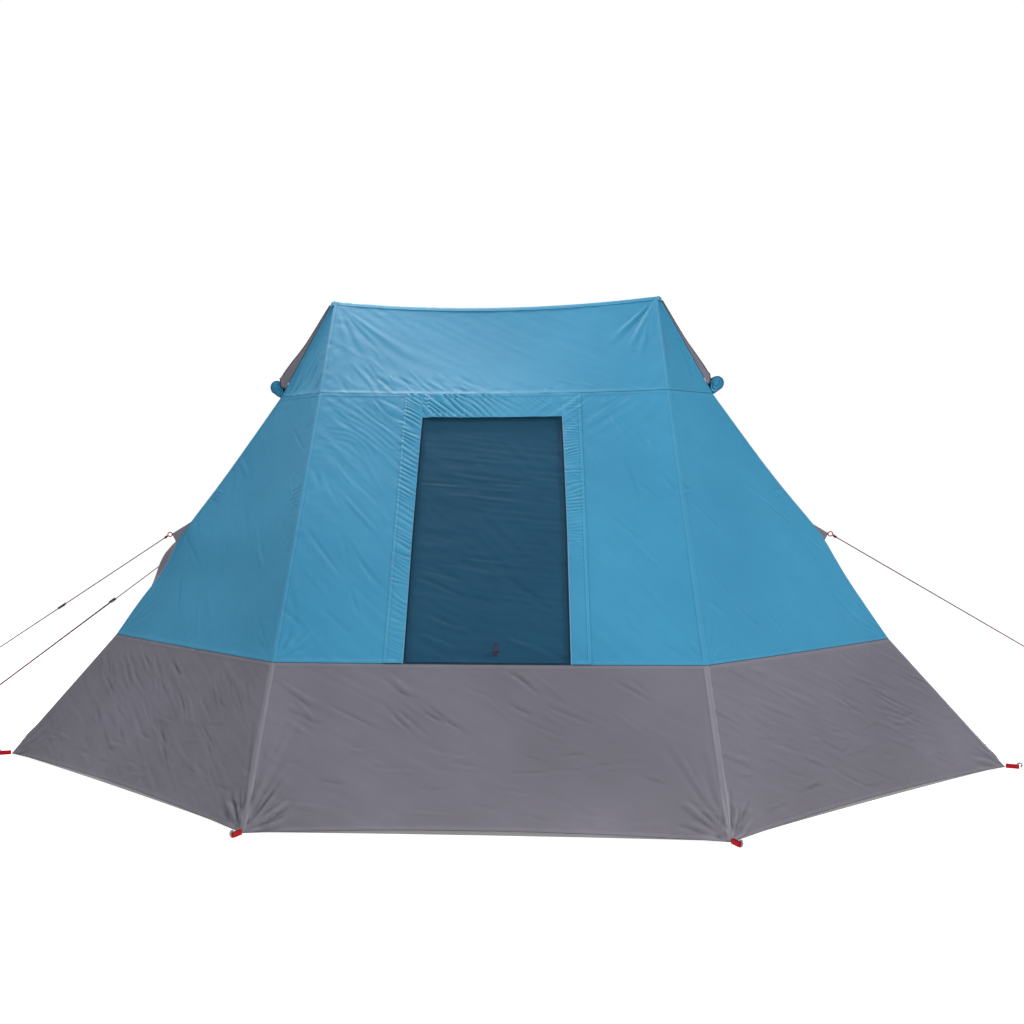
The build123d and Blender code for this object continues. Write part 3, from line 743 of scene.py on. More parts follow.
def folds_of(tier, facet):
    """A facet's fold function and its last arguments: its own, or its kind's with a seed."""
    if (tier, facet) in FOLDS:
        return FOLDS[tier, facet]
    seed = 400 + 20 * FACETS.index(facet) + 7 * list(TIERS).index(tier)
    if tier == "wall" and facet in END_PUFF:
        return end_wall_folds, seed, END_PUFF[facet]
    kinds = {"skirt": corner_skirt_folds, "wall": corner_wall_folds, "roof": corner_roof_folds}
    return kinds[tier], seed


# How far each facet's middle stands in (-) or out (+) of the flat panel
SAG = {
    ("wall", "front"): -0.004, ("wall", "back"): -0.004, ("roof", "front"): -0.012,
    ("roof", "back"): -0.012, ("skirt", "front"): -0.012, ("skirt", "back"): -0.012,
    ("wall", "end_left"): 0.018, ("wall", "end_right"): 0.018,
    ("roof", "end_left"): 0.0, ("roof", "end_right"): 0.0,
}


class Facet:
    """One side of the shell between two levels."""

    def __init__(self, tier, facet):
        self.tier, self.facet = tier, facet
        self.index = FACETS.index(facet)
        self.low, self.high = TIERS[tier]
        self.corners = [
            ring_point(level, self.index + step) for level in (self.low, self.high) for step in (0, 1)
        ]
        a, b, c, d = self.corners
        self.wide_low, self.wide_high = np.linalg.norm(b - a), np.linalg.norm(d - c)
        self.tall = np.linalg.norm((c + d - a - b) / 2)
        normal = np.cross((b - a) + (d - c), (c - a) + (d - b))
        self.normal = normal / np.linalg.norm(normal)
        self.folds, *self.fold_values = folds_of(tier, facet)
        self.sag = SAG.get((tier, facet), -0.014)

    def wide(self, q):
        return self.wide_low + (self.wide_high - self.wide_low) * q

    def q_at(self, z):
        low, high = LEVELS[self.low][0], LEVELS[self.high][0]
        return (z - low) / (high - low)

    def flat(self, p, q):
        """Points on the panel between its seams, before it sags or creases."""
        a, b, c, d = self.corners
        p3, q3 = p[..., None], q[..., None]
        base = (a * (1 - p3) + b * p3) * (1 - q3) + (c * (1 - p3) + d * p3) * q3
        base = base + level_edge(self.low, self.index, p) * (1 - q3)
        base = base + level_edge(self.high, self.index, p) * q3
        base = base + upright_edge(self.tier, self.index, q) * (1 - p3)
        return base + upright_edge(self.tier, self.index + 1, q) * p3

    def relief(self, p, q):
        wide = self.wide(q)
        s, t = (p - 0.5) * wide, q * self.tall
        edge = np.minimum(np.minimum(p, 1 - p) * wide, np.minimum(q, 1 - q) * self.tall)
        hold = 1 - np.exp(-np.clip(edge, 0, None) / 0.018)
        deep = self.sag * np.sin(pi * np.clip(p, 0, 1)) ** 0.8 * np.sin(pi * np.clip(q, 0, 1)) ** 0.8
        puckers = 0.0016 * np.exp(-edge / 0.05) * cloudy(s, t, 0.030, 77 + self.index)
        folds = self.folds(s, t, self.wide_low, self.tall, *self.fold_values)
        return deep + hold * (folds + puckers)

    def surface(self, p, q, lift=0.0):
        return self.flat(p, q) + (self.relief(p, q) + lift)[..., None] * self.normal


# ---- Building a cloth piece ----
def spaced(long, step):
    """Distances from 0 to long: close together along the folded edges, even between."""
    band = [0.0, 0.004, 0.009, SEAM_BAND - 0.001, SEAM_BAND + 0.001, 0.030]
    if long < 4 * band[-1]:
        return np.linspace(0, long, max(4, int(long / step)) + 1)
    count = max(2, int(round((long - 2 * band[-1]) / step)))
    middle = np.linspace(band[-1], long - band[-1], count + 1)[1:-1]
    return np.concatenate([band, middle, long - np.array(band[::-1])])


def set_fields(mesh, fields):
    """Stores what the cloth material reads at each vertex."""
    for field, values in fields.items():
        layer = mesh.attributes.new(field, "FLOAT", "POINT")
        layer.data.foreach_set("value", values.astype(np.float32).ravel())


def plain_fields(edge, along):
    """The fields of a piece with no upright seam, clear of the ground."""
    return {"edge": edge, "along": along, "upright": 0 * along, "low": 0 * along}


def cloth_piece(name, points, cloth_u, cloth_v, fields, slot, body="tent"):
    """A mesh from rows of points, with the cloth's own measure as its UVs."""
    rows, columns = points.shape[:2]
    index = np.arange(rows * columns).reshape(rows, columns)
    quads = np.stack([index[:-1, :-1], index[:-1, 1:], index[1:, 1:], index[1:, :-1]], -1).reshape(-1, 4)
    mesh = bpy.data.meshes.new(name)
    mesh.vertices.add(rows * columns)
    mesh.vertices.foreach_set("co", points.astype(np.float32).ravel())
    mesh.loops.add(quads.size)
    mesh.loops.foreach_set("vertex_index", quads.astype(np.int32).ravel())
    mesh.polygons.add(len(quads))
    mesh.polygons.foreach_set("loop_start", np.arange(0, quads.size, 4, dtype=np.int32))
    mesh.update(calc_edges=True)
    smooth(mesh)
    uv = mesh.uv_layers.new(name="cloth")
    flat = np.stack([cloth_u.ravel(), cloth_v.ravel()], -1)[quads.ravel()]
    uv.data.foreach_set("uv", flat.astype(np.float32).ravel())
    set_fields(mesh, fields)
    mesh.validate()
    return dress(add_object(name, mesh), slot, body)


def seam_fields(left, right, low, high, sewn, height):
    """Distance to the nearest sewn edge, the place along it, and nearness to the ground."""
    far = np.full(left.shape, 1.0)
    sides = {"l": (left, low), "r": (right, low), "b": (low, left), "t": (high, left)}
    edge, along, upright = far, far, 0 * far
    for key, (distance, place) in sides.items():
        if key in sewn:
            closer = distance < edge
            edge = np.where(closer, distance, edge)
            along = np.where(closer, place, along)
            upright = np.where(closer, float(key in "lr"), upright)
    return {"edge": edge, "along": along, "upright": upright, "low": np.clip(1 - height / 0.35, 0, 1) ** 2}


def seam_lift(edge, rise=SEAM_RISE):
    """A folded seam's section: the cloth is double for SEAM_BAND beside the seam line."""
    share = np.clip((SEAM_BAND + 0.001 - edge) / 0.002, 0, 1)
    return rise * share - rise * np.exp(-edge / 0.0015)


def creases(height, across, up):
    """How sharply the cloth bends: towards 1 in a valley, towards -1 on a ridge."""
    total = np.zeros(height.shape)
    for axis, places in ((0, up), (1, across)):
        slope = np.gradient(height, places, axis=axis)
        total += np.gradient(slope, places, axis=axis)
    padded = np.pad(total, 1, mode="edge")
    soft = (padded[:-2, 1:-1] + padded[2:, 1:-1] + padded[1:-1, :-2] + padded[1:-1, 2:] + 2 * total) / 6
    return np.clip(soft / CREASE_BEND, -1, 1)


def reach_at(reach, q):
    """A side's distance from the facet's middle at each row: a number, or a function of the row."""
    return reach(q) if callable(reach) else np.full(q.shape, reach)


def panel(name, nodes, tier, facet, slot, step=MID_STEP, left=None, right=None, low=None, high=None,
          sewn="lrbt", lift=0.0, body="tent", extra=None, declare=True):
    """A piece of a facet. left and right are distances from its middle, low and high are heights."""
    side = Facet(tier, facet)
    q0 = 0.0 if low is None else side.q_at(low)
    q1 = 1.0 if high is None else side.q_at(high)
    rises = spaced((q1 - q0) * side.tall, step)
    q_rows = q0 + rises / side.tall
    half = side.wide(q_rows) / 2
    starts = -half if left is None else reach_at(left, q_rows)
    ends = half if right is None else reach_at(right, q_rows)
    spans = ends - starts
    base = spaced(spans.max(), step)
    count = len(base)
    columns = []
    for span in spans:
        if span >= spans.max() - 1e-9:
            columns.append(base)
        else:
            band = min(base[6] if count > 12 else span, span / 4)
            share = base / base[-1]
            if count > 12 and band == base[6]:
                inner = np.linspace(band, span - band, count - 12)
                columns.append(np.concatenate([base[:6], inner, span - base[:6][::-1]]))
            else:
                columns.append(share * span)
    across = np.array(columns)
    s = starts[:, None] + across
    q = np.repeat(q_rows[:, None], count, 1)
    p = s / side.wide(q) + 0.5
    to_left, to_right = across, spans[:, None] - across
    to_low = np.repeat(rises[:, None], count, 1)
    to_high = rises[-1] - to_low
    fields = seam_fields(to_left, to_right, to_low, to_high, sewn, side.flat(p, q)[..., 2])
    rise = seam_lift(fields["edge"]) + lift
    if extra is not None:
        rise = rise + extra(s, q * side.tall, fields)
    points = side.surface(p, q, rise)
    bend = side.relief(p, q) + (0.0 if extra is None else extra(s, q * side.tall, fields))
    fields["crease"] = creases(bend, base, rises)
    piece = cloth_piece(name, points, s, to_low, fields, slot, body)
    for node in nodes:
        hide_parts(node)
    if declare:
        area = float(np.mean(spans) * rises[-1])
        flat = (float(spans.max()), float(rises[-1]))
        area = min(area, flat[0] * flat[1])
    return piece


# ---- Skirt, walls and roof ----
def make_shell():
    panel("cloth_skirt_front", ["skirt_front"], "skirt", "front", "grey_cloth", FINE_STEP)
    panel("cloth_roof_front", ["roof_front"], "roof", "front", "blue_cloth", FINE_STEP)
    panel("cloth_roof_back", ["roof_back"], "roof", "back", "blue_cloth")
    for end in ("left", "right"):
        panel(f"cloth_skirt_end_{end}", [f"skirt_end_{end}"], "skirt", f"end_{end}", "grey_cloth")
        panel(f"cloth_wall_end_{end}", [f"wall_end_{end}"], "wall", f"end_{end}", "grey_cloth")
        net = panel(
            f"vent_net_{end}", [f"vent_mesh_{end}"], "roof", f"end_{end}", "insect_mesh", declare=False
        )
        for face in ("front", "back"):
            place = f"corner_{face}_{end}"
            step = FINE_STEP if face == "front" else MID_STEP
            panel(f"cloth_skirt_{place}", [f"skirt_{place}"], "skirt", place, "grey_cloth", step)
            panel(f"cloth_wall_{place}", [f"wall_{place}"], "wall", place, "blue_cloth", step)
            panel(f"cloth_roof_{place}", ["roof_corners"], "roof", place, "blue_cloth", FINE_STEP)


make_shell()


# ---- Window ----
BINDING_WIDE = 0.005
FACING_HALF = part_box("window_facing_sides")[1].x
WINDOW_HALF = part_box("window_mesh")[1].x
WINDOW_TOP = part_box("window_mesh")[1].z
WINDOW_TOP_Q = 0.9
WINDOW_BOW = 0.009
GATHER_HIGH = 0.0050
FACING_TOP_STEP = 0.004
CURTAIN_DEPTH = -0.0145        # behind the wall's outer face
ZIP_WIDE = 0.009


def opening_half(q):
    """Half the window's width: the taut wall draws its sides apart below the top."""
    return WINDOW_HALF + WINDOW_BOW * np.clip((WINDOW_TOP_Q - q) / 0.45, 0, 1) ** 0.7


def opening_side(side, over=0.0):
    return lambda q: side * (opening_half(q) + over)


def side_ruffles(sign):
    def extra(s, t, fields):
        inner = np.clip((FACING_HALF - np.abs(s)) / (FACING_HALF - WINDOW_HALF), 0, 1)
        if sign < 0:
            strength = 0.30 + 0.70 * np.clip((t - 0.2) / 1.1, 0, 1)
            gathers = ruffles(s, t, -32, 0.024, GATHER_HIGH, 31) + 0.85 * GATHER_HIGH
            return gathers * strength * hump(inner) ** 0.4
        fine = 0.62 * near(t, 1.02, 0.44)
        return (ruffles(s, t, 5, 0.019, GATHER_HIGH, 33) + 0.85 * GATHER_HIGH) * fine * hump(inner) ** 0.5
    return extra


def top_ruffles(s, t, fields):
    strength = 0.12 + 0.88 * fade(s, -0.16, 0.16)
    return ruffles(s, t, -44, 0.028, GATHER_HIGH, 35) * strength


def make_window():
    panel("cloth_wall_front_left", ["wall_front_left"], "wall", "front", "blue_cloth", FINE_STEP,
          right=-FACING_HALF, sewn="lbt")
    panel("cloth_wall_front_right", ["wall_front_right"], "wall", "front", "blue_cloth", FINE_STEP,
          left=FACING_HALF, sewn="rbt")
    panel("facing_left", ["window_facing_sides"], "wall", "front", "facing_cloth", GATHER_STEP, sewn="lbt",
          left=-FACING_HALF, right=opening_side(-1), lift=FACING_LIFT, extra=side_ruffles(-1))
    panel("facing_right", ["window_facing_sides"], "wall", "front", "facing_cloth", GATHER_STEP, sewn="rbt",
          left=opening_side(1), right=FACING_HALF, lift=FACING_LIFT, extra=side_ruffles(1))
    panel("facing_top", ["window_facing_top"], "wall", "front", "facing_cloth", FACING_TOP_STEP, sewn="t",
          left=-WINDOW_HALF, right=WINDOW_HALF, low=WINDOW_TOP, lift=FACING_LIFT, extra=top_ruffles)
    panel("window_net", ["window_mesh"], "wall", "front", "insect_mesh", MID_STEP,
          left=opening_side(-1), right=opening_side(1), high=WINDOW_TOP, lift=-0.001)
    for side, sign in (("left", -1), ("right", 1)):
        near_edge, far_edge = sorted((-sign * BINDING_WIDE / 2, sign * BINDING_WIDE / 2))
        strip = panel(
            f"window_binding_{side}", [], "wall", "front", "facing_cloth", FINE_STEP,
            high=WINDOW_TOP, sewn="",
            left=opening_side(sign, sign * near_edge), right=opening_side(sign, sign * far_edge),
            lift=FACING_LIFT + 0.0012, declare=False,
        )
        strip.data.materials[0] = MATERIALS["pale_binding"]


def zip_strip(name, node, facet, plan, lift):
    """A zip's tape and teeth, laid on the cloth. plan is a list of (left, right, low, high)."""
    for index, (left, right, low, high) in enumerate(plan):
        tier = "wall" if low >= LEVELS["seam"][0] - 0.001 else "skirt"
        panel(f"{name}_{index}", [node], tier, facet, "zip_tape", 0.012, left=left, right=right,
              low=low, high=high, sewn="", lift=lift, declare=False)


def curtain_folds(s, t, fields):
    total = pulled(s, t, -8, 0.035, 0.0018, 51)
    return strewn(total, s, t, [
        ((-0.30, 0.85, 0.20, 1.30), -10, 6, 0.36, 0.008, 0.0030, 13, 52),
        ((-0.25, 0.45, 0.30, 1.00), -9, 10, 0.20, 0.008, 0.0024, 13, 53),
        ((-0.30, 0.05, 0.30, 0.50), -25, 9, 0.24, 0.008, 0.0040, 18, 54),
    ]) - 0.005


def make_curtain():
    low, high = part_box("window_curtain")
    piece = panel("curtain", ["window_curtain"], "wall", "front", "curtain_cloth", FINE_STEP,
                  left=low.x, right=high.x, low=LEVELS["seam"][0] + 0.006, high=high.z,
                  lift=CURTAIN_DEPTH, body=None, extra=curtain_folds)
    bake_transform(piece)


def make_curtain_zip():
    low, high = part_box("curtain_zip_track")
    bottom, top = LEVELS["seam"][0] + 0.018, high.z - ZIP_WIDE
    plan = [
        (low.x, low.x + ZIP_WIDE, bottom, top),
        (high.x - ZIP_WIDE, high.x, bottom, top),
        (low.x, high.x, top, high.z),
    ]
    zip_strip("curtain_zip", "curtain_zip_track", "front", plan, -0.0075)


make_window()
make_curtain()
make_curtain_zip()

# ---- Door ----
DOOR_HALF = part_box("door_header")[1].x
DOOR_LAP = 0.012               # how far the flap hangs over its sill
DOOR_HEM = 0.006               # and over the wall at its sewn side


def door_folds(s, t, fields):
    folds = pulled(s, t, 70, 0.05, 0.0016, 61)
    folds += scatter(s, t, (-0.35, 0.1, 0.35, 1.9), 62, 22, 0.40, 0.020, 0.0035, 16, 62)
    return 0.0022 + folds * (1 - np.exp(-fields["edge"] / 0.03))


def make_door():
    low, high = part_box("door_flap")
    sill_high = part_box("door_sill")[1].z
    header_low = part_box("door_header")[0].z
    for side, left, right in (("right", None, -DOOR_HALF), ("left", DOOR_HALF, None)):
        panel(f"cloth_wall_back_{side}", [f"wall_back_{side}"], "wall", "back", "blue_cloth",
              left=left, right=right)
        panel(f"cloth_skirt_back_{side}", [f"skirt_back_{side}"], "skirt", "back", "grey_cloth",
              left=left, right=right)
    panel("door_sill_cloth", ["door_sill"], "skirt", "back", "grey_cloth",
          left=-DOOR_HALF, right=DOOR_HALF, high=sill_high)
    panel("door_header_cloth", ["door_header"], "wall", "back", "blue_cloth",
          left=-DOOR_HALF, right=DOOR_HALF, low=header_low)
    # seen from behind the tent, +X is on the left, so the hinge at -X is on the right
    hinge_s, free_s = DOOR_HALF + DOOR_HEM, -high.x
    parts = {"lower": ("skirt", low.z - DOOR_LAP, None, "lrb"), "upper": ("wall", None, high.z, "lrt")}
    for name, (tier, bottom, top, sewn) in parts.items():
        piece = panel(f"door_{name}", ["door_flap"], tier, "back", "blue_cloth", MID_STEP,
                      left=free_s, right=hinge_s, low=bottom, high=top, sewn=sewn, body=None,
                      extra=door_folds)
        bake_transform(piece)


def make_door_zip():
    """The zip runs up the side that opens, which is at +X, and across the top."""
    low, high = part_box("door_zip_track")
    seam, top = LEVELS["seam"][0], high.z - ZIP_WIDE
    free = -high.x
    plan = [
        (free, free + ZIP_WIDE, low.z, seam), (free, free + ZIP_WIDE, seam, top),
        (free, DOOR_HALF + 0.002, top, high.z),
    ]
    zip_strip("door_zip", "door_zip_track", "back", plan, 0.0016)


make_door()
make_door_zip()


# ---- Groundsheet ----
EDGE_STEPS = 40                # points along each of its eight sides
FLOOR_RINGS = 45
FLOOR_HIGH = 0.0050
# The lip's section, from its top down to the floor: how far inside the hem, and height
FLOOR_LIP = [(0.058, 0.055), (0.038, 0.035), (0.018, 0.012), (0.016, 0.003), (0.04, 0.0018)]


def make_groundsheet():
    """The floor inside the hem, and its lip standing up inside the skirt."""
    low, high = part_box("groundsheet")
    shares = np.linspace(0, 1, EDGE_STEPS, endpoint=False)
    edge = []
    for index in range(8):
        a, b = ring_point("hem", index), ring_point("hem", index + 1)
        edge.append(a + (b - a) * shares[:, None] + level_edge("hem", index, shares))
    hem = np.concatenate([*edge, edge[0][:1]])
    inward = hem[:, :2] / np.linalg.norm(hem[:, :2], axis=1, keepdims=True)
    arch = np.maximum(hem[:, 2] - low.z, 0.0)
    rings = []
    for draw, z in FLOOR_LIP:
        ring = hem.copy()
        ring[:, :2] -= inward * draw
        ring[:, 2] = z if z < 0.01 else z + arch * 0.8
        rings.append(ring)
    inner = rings[-1]
    for share in np.linspace(1, 0.02, FLOOR_RINGS + 1)[1:]:
        ring = inner.copy()
        ring[:, :2] *= share
        x, y = ring[:, 0], ring[:, 1]
        ripples = 0.0030 * cloudy(x, y, 0.22, 71) + 0.0016 * cloudy(x, y, 0.07, 72)
        ring[:, 2] = FLOOR_HIGH + ripples
        rings.append(ring)
    points = np.array(rings[::-1])
    distance = np.array([0.5] * FLOOR_RINGS + [0.08, 0.06, 0.04, 0.02, 0.0])
    distance, along = np.broadcast_arrays(distance[:, None], 0.03 * np.arange(1, len(hem) + 1))
    fields = {**plain_fields(distance, along), "low": 0.6 + 0 * distance}
    cloth_u, cloth_v = points[..., 0], points[..., 1]
    piece = cloth_piece("groundsheet_cloth", points, cloth_u, cloth_v, fields, "ground_cloth")
    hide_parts("groundsheet")


make_groundsheet()


# ---- Ridge tape ----
TAPE_HALF = 0.024


def roof_fall(y):
    """How far the roof lies below its ridge at a distance from the middle."""
    waist_z, (_, waist_y), _ = LEVELS["waist"]
    slope = (LEVELS["peak"][0] - waist_z) / (waist_y - RIDGE_HALF_Y)
    over = np.abs(y) - RIDGE_HALF_Y
    return slope * (over + np.sqrt(over**2 + 0.003**2)) / 2


def make_ridge():
    low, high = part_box("ridge_tape")
    shares = np.linspace(0, 1, 90)
    across = np.linspace(-1, 1, 15)
    x = low.x + (high.x - low.x) * shares
    pole = LEVELS["peak"][1][0]
    sag = -RIDGE_SAG * hump((x + pole) / (2 * pole))
    points = np.zeros((len(across), len(x), 3))
    points[..., 0] = x
    points[..., 1] = across[:, None] * TAPE_HALF
    points[..., 2] = LEVELS["peak"][0] + sag + 0.0022 - roof_fall(points[..., 1])
    u = np.repeat(x[None, :], len(across), 0)
    v = points[..., 1]
    fields = plain_fields(TAPE_HALF + 0.002 - np.abs(v), u)
    tape = cloth_piece("ridge_cloth", points, u, v, fields, "blue_cloth")
    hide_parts("ridge_tape")


make_ridge()


def make_peak(end, sign):
    """A doubled patch of cloth folded over a pole's top."""
    pole = LEVELS["peak"][1][0]
    x, y = np.meshgrid(np.linspace(-0.045, 0.020, 25), np.linspace(-0.030, 0.030, 31))
    over = np.maximum(x - 0.008, 0)
    ridge = -RIDGE_SAG * hump(np.clip((pole + x) / (2 * pole), 0, 1))
    z = LEVELS["peak"][0] + 0.0038 - roof_fall(y) - 2.2 * over**1.2 + ridge * (x < 0)
    points = np.stack([sign * (pole + x), y * sign, z], -1)
    edge = np.minimum(np.minimum(x + 0.045, 0.020 - x), 0.030 - np.abs(y))
    fields = plain_fields(edge + 0.001, x + y)
    patch = cloth_piece(f"peak_patch_{end}", points, x, y, fields, "blue_cloth")
    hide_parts("peak_caps")


# ---- Vent hoods and rolled covers ----
HOOD_CHEEK_DROP = 0.060
HOOD_STAND = {"left": 1.0, "right": 0.66}
ROLL_RADIUS = 0.035
ROLL_SHIFT = (-0.004, 0.010)   # outward and up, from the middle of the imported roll
ROLL_TAIL = radians(-118.0)    # which way the roll is drawn out to its seam
ROLL_TAIL_SHARE = 0.62
ROLL_TIE = 0.080               # each tie's distance from the middle


def roll_outline(angles):
    """A roll's section: round, and drawn out to a lip where it is sewn to the waist seam."""
    return 1 + ROLL_TAIL_SHARE * np.maximum(np.cos(angles - ROLL_TAIL), 0) ** 6


def make_hood(end, sign):
    """A hood of cloth over a vent, open below, its cheeks reaching down beside the rolled cover."""
    low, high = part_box(f"vent_hood_{end}")
    waist_z, _, (waist_x, waist_y) = LEVELS["waist"]
    rows, columns = 40, 45
    angle = np.linspace(-pi / 2, pi / 2, columns)
    cheek = np.abs(angle / (pi / 2)) ** 5
    bottom = low.z - HOOD_CHEEK_DROP * cheek
    z = bottom + (high.z - bottom) * np.linspace(0, 1, rows)[:, None]
    rise = (z - waist_z) / (LEVELS["peak"][0] - waist_z)
    base_x = waist_x + (VENT_TOP[0] - waist_x) * rise
    base_y = waist_y + (VENT_TOP[1] - waist_y) * rise + 0.003
    down = (high.z - z) / (high.z - low.z)
    flare = 1 - fade(down, 0.5, 0.9)
    out = HOOD_STAND[end] * (0.006 + 0.050 * down + 0.020 * flare - 0.004 * np.sin(pi * down))
    side = np.sign(np.sin(angle)) * np.abs(np.sin(angle)) ** 0.75
    depth = np.cos(angle) ** 0.42
    s, t = np.broadcast_to(side * 0.2, z.shape), z
    ripple = pulled(s, t, 90, 0.03, 0.0014, 81) * np.cos(angle) ** 0.5
    points = np.stack([sign * (base_x + 0.001 + out * depth + ripple), sign * side * base_y, z], -1)
    hood = cloth_piece(
        f"hood_{end}", points, s, t, plain_fields(z - bottom + 0.001, s), "grey_cloth"
    )
    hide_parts(f"vent_hood_{end}")
    near_front, near_back = (6, -7) if sign > 0 else (-7, 6)
    welts = {"rim": points[0], "front": points[:, near_front], "back": points[:, near_back]}
    for name, path in welts.items():
        welt = tube_piece(f"hood_{name}_{end}", path, 0.0030, "grey_cloth")
        welt.data.materials[0] = MATERIALS["dark_piping"]


def tube_piece(name, path, radius, slot, body="tent"):
    """A piped edge: a round welt along a line of points."""
    data = line_data(name + "_line", "POLY", path, radius)
    data.use_fill_caps = True
    piece = meshed(name, data)
    ones = np.ones(len(piece.data.vertices))
    set_fields(piece.data, plain_fields(0.05 * ones, 0 * ones))
    return dress(piece, slot, body)


def make_roll(end, sign):
    """A rolled vent cover: a loose spiral of cloth held by two ties."""
    low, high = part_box(f"vent_cover_{end}")
    middle = (low + high) / 2
    centre = Vector((middle.x + sign * ROLL_SHIFT[0], 0.0, middle.z + ROLL_SHIFT[1]))
    angles = np.linspace(0, 3.2 * 2 * pi, 190) - 0.6 * pi
    share = np.linspace(0, 1, 190)
    columns = np.linspace(low.y + 0.002, high.y - 0.002, 60)
    s, t = np.meshgrid(columns, share * 0.55)
    drawn = 1 + (roll_outline(angles) - 1) * share**2
    spiral = (0.009 + (ROLL_RADIUS - 0.009) * share**0.8) * drawn
    tied = 1 - 0.14 * (near(s, -ROLL_TIE, 0.014) + near(s, ROLL_TIE, 0.014))
    folds = 0.0022 * cloudy(s * 2, t, 0.05, 91) + 0.0010 * cloudy(s, t, 0.018, 92)
    r = spiral[:, None] * tied + folds * share[:, None]
    points = np.zeros((*s.shape, 3))
    points[..., 0] = centre.x + sign * r * np.cos(angles[:, None])
    points[..., 1] = s + 0.004 * cloudy(s * 0 + 3, t, 0.05, 93)
    points[..., 2] = centre.z + r * np.sin(angles[:, None])
    body = f"vent_cover_{end}"
    fields = plain_fields(np.minimum(s - low.y, high.y - s) + 0.004, t)
    roll = cloth_piece(f"rolled_cover_{end}", points, s, t, fields, "blue_cloth", body)
    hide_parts(body)
    turns = np.linspace(0, 2 * pi, 49)
    reach = (ROLL_RADIUS * 0.86 + 0.003) * roll_outline(turns)
    for name, spot in (("front", -ROLL_TIE), ("back", ROLL_TIE)):
        ring = [
            (centre.x + sign * r * cos(a), spot, centre.z + r * sin(a)) for a, r in zip(turns, reach)
        ]
        tube_piece(f"cover_tie_{name}_{end}", ring, 0.0022, "tie_cord", body)
    for name, y, facing in (("front", low.y + 0.006, -1), ("back", high.y - 0.006, 1)):
        make_roll_end(name, end, sign, centre, y, facing)


def make_roll_end(name, end, sign, centre, y, facing):
    """The end of a roll: its turns pressed together, seen edge on."""
    r, a = np.meshgrid(np.linspace(0.0, 1.0, 40), np.linspace(0, 2 * pi, 73))
    turn = (r * 3.6 - a / (2 * pi)) % 1
    lip = np.minimum(turn, 1 - turn) * 2
    wide = r * (ROLL_RADIUS - 0.001) * (1 + (roll_outline(a) - 1) * r)
    points = np.zeros((*r.shape, 3))
    points[..., 0] = centre.x + sign * wide * np.cos(a)
    points[..., 1] = y - facing * (0.0045 * (1 - lip) + 0.008 * r**4 - 0.004)
    points[..., 2] = centre.z + wide * np.sin(a)
    face = cloth_piece(
        f"roll_end_{name}_{end}", points, r * ROLL_RADIUS, a * 0.02,
        plain_fields(np.full(r.shape, 0.05), a * 0.02), "blue_cloth", f"vent_cover_{end}",
    )
    face.data.materials[0] = MATERIALS["facing_cloth"]


for end, sign in (("left", -1), ("right", 1)):
    make_peak(end, sign)
    make_hood(end, sign)
    make_roll(end, sign)


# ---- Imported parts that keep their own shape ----
SHOWN_PARTS = {
    "guy_patches": "plain_grey", "guy_loops": "red_webbing",
    "corner_loops": "red_webbing", "corner_pegs": "peg_steel", "guy_pegs": "peg_steel",
    "guy_runner_front_left": "runner_plastic", "guy_runner_back_left": "runner_plastic",
    "guy_runner_front_right": "runner_plastic", "tie_backs": "tie_cord",
    "curtain_zip_slider": "zip_metal", "door_zip_slider": "zip_metal",
    "pole_lower_sections": "pole_steel", "pole_middle_sections": "pole_steel",
    "pole_upper_sections": "pole_steel", "pole_ferrules": "pole_steel",
    "pole_feet": "foot_rubber", "pole_spigots": "spigot_plastic",
}


def dress_parts():
    for node, slot in SHOWN_PARTS.items():
        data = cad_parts[node].data
        data.materials.clear()
        data.materials.append(MATERIALS[slot])


dress_parts()


# ---- Floor and lights ----
FLOOR_HALF = 60.0
WHITE = (1.0, 1.0, 1.0, 1.0)
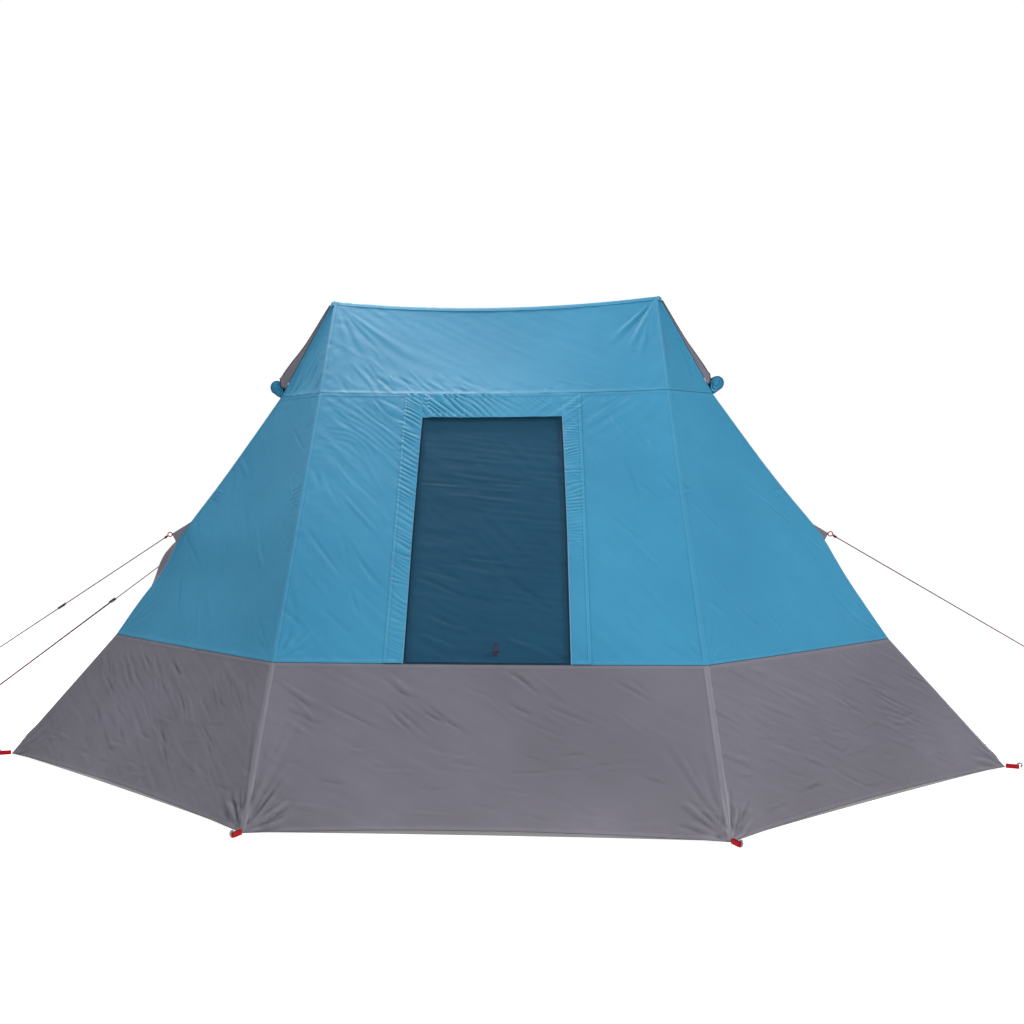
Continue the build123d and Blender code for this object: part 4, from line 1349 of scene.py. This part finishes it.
# Name, place, what it is aimed at, size and power
LAMPS = [
    ("key", (4.4, -4.4, 3.2), (0.2, -0.6, 1.0), 1.3, 195),
    ("fill", (-4.6, -4.4, 3.4), (-0.8, -0.4, 0.8), 2.6, 34),
    ("top", (-1.0, 1.4, 5.0), (-0.2, -0.3, 1.9), 1.6, 280),
    ("front", (0.5, -6.0, 3.0), (0.3, -1.0, 1.0), 1.6, 84),
    ("back", (-3.0, 4.6, 4.6), (0.0, 0.6, 1.0), 2.4, 150),
]


def make_stage():
    mesh = bpy.data.meshes.new("floor")
    corners = [(x * FLOOR_HALF, y * FLOOR_HALF, 0) for x, y in ((-1, -1), (1, -1), (1, 1), (-1, 1))]
    mesh.from_pydata(corners, [], [(0, 1, 2, 3)])
    floor = add_object("floor", mesh)
    shader = Shader("floor", 0.9)
    shader.set(shader.main, {"Base Color": (0.50, 0.50, 0.50, 1.0)})
    shader.set(shader.main, {"Emission Color": WHITE, "Emission Strength": 0.86})
    mesh.materials.append(shader.material)

    world = bpy.data.worlds.new("world")
    world.use_nodes = True
    tree = world.node_tree
    light = tree.nodes["Background"]
    light.inputs["Strength"].default_value = 0.36
    light.inputs["Color"].default_value = (0.99, 0.99, 1.0, 1.0)
    wall = tree.nodes.new("ShaderNodeBackground")
    wall.inputs["Color"].default_value = WHITE
    rays = tree.nodes.new("ShaderNodeLightPath")
    both = tree.nodes.new("ShaderNodeMixShader")
    tree.links.new(rays.outputs["Is Camera Ray"], both.inputs[0])
    tree.links.new(light.outputs[0], both.inputs[1])
    tree.links.new(wall.outputs[0], both.inputs[2])
    tree.links.new(both.outputs[0], tree.nodes["World Output"].inputs["Surface"])
    bpy.context.scene.world = world
    for name, place, aim, size, power in LAMPS:
        lamp(name, place, aim, size, power)


def lamp(name, place, aim, size, power):
    data = bpy.data.lights.new(name, "AREA")
    data.size = size
    data.energy = power
    light = add_object(name, data)
    light.location = place
    light.rotation_mode = "QUATERNION"
    light.rotation_quaternion = (Vector(aim) - Vector(place)).to_track_quat("-Z", "Y")


make_stage()
bpy.context.scene.view_settings.view_transform = "Standard"
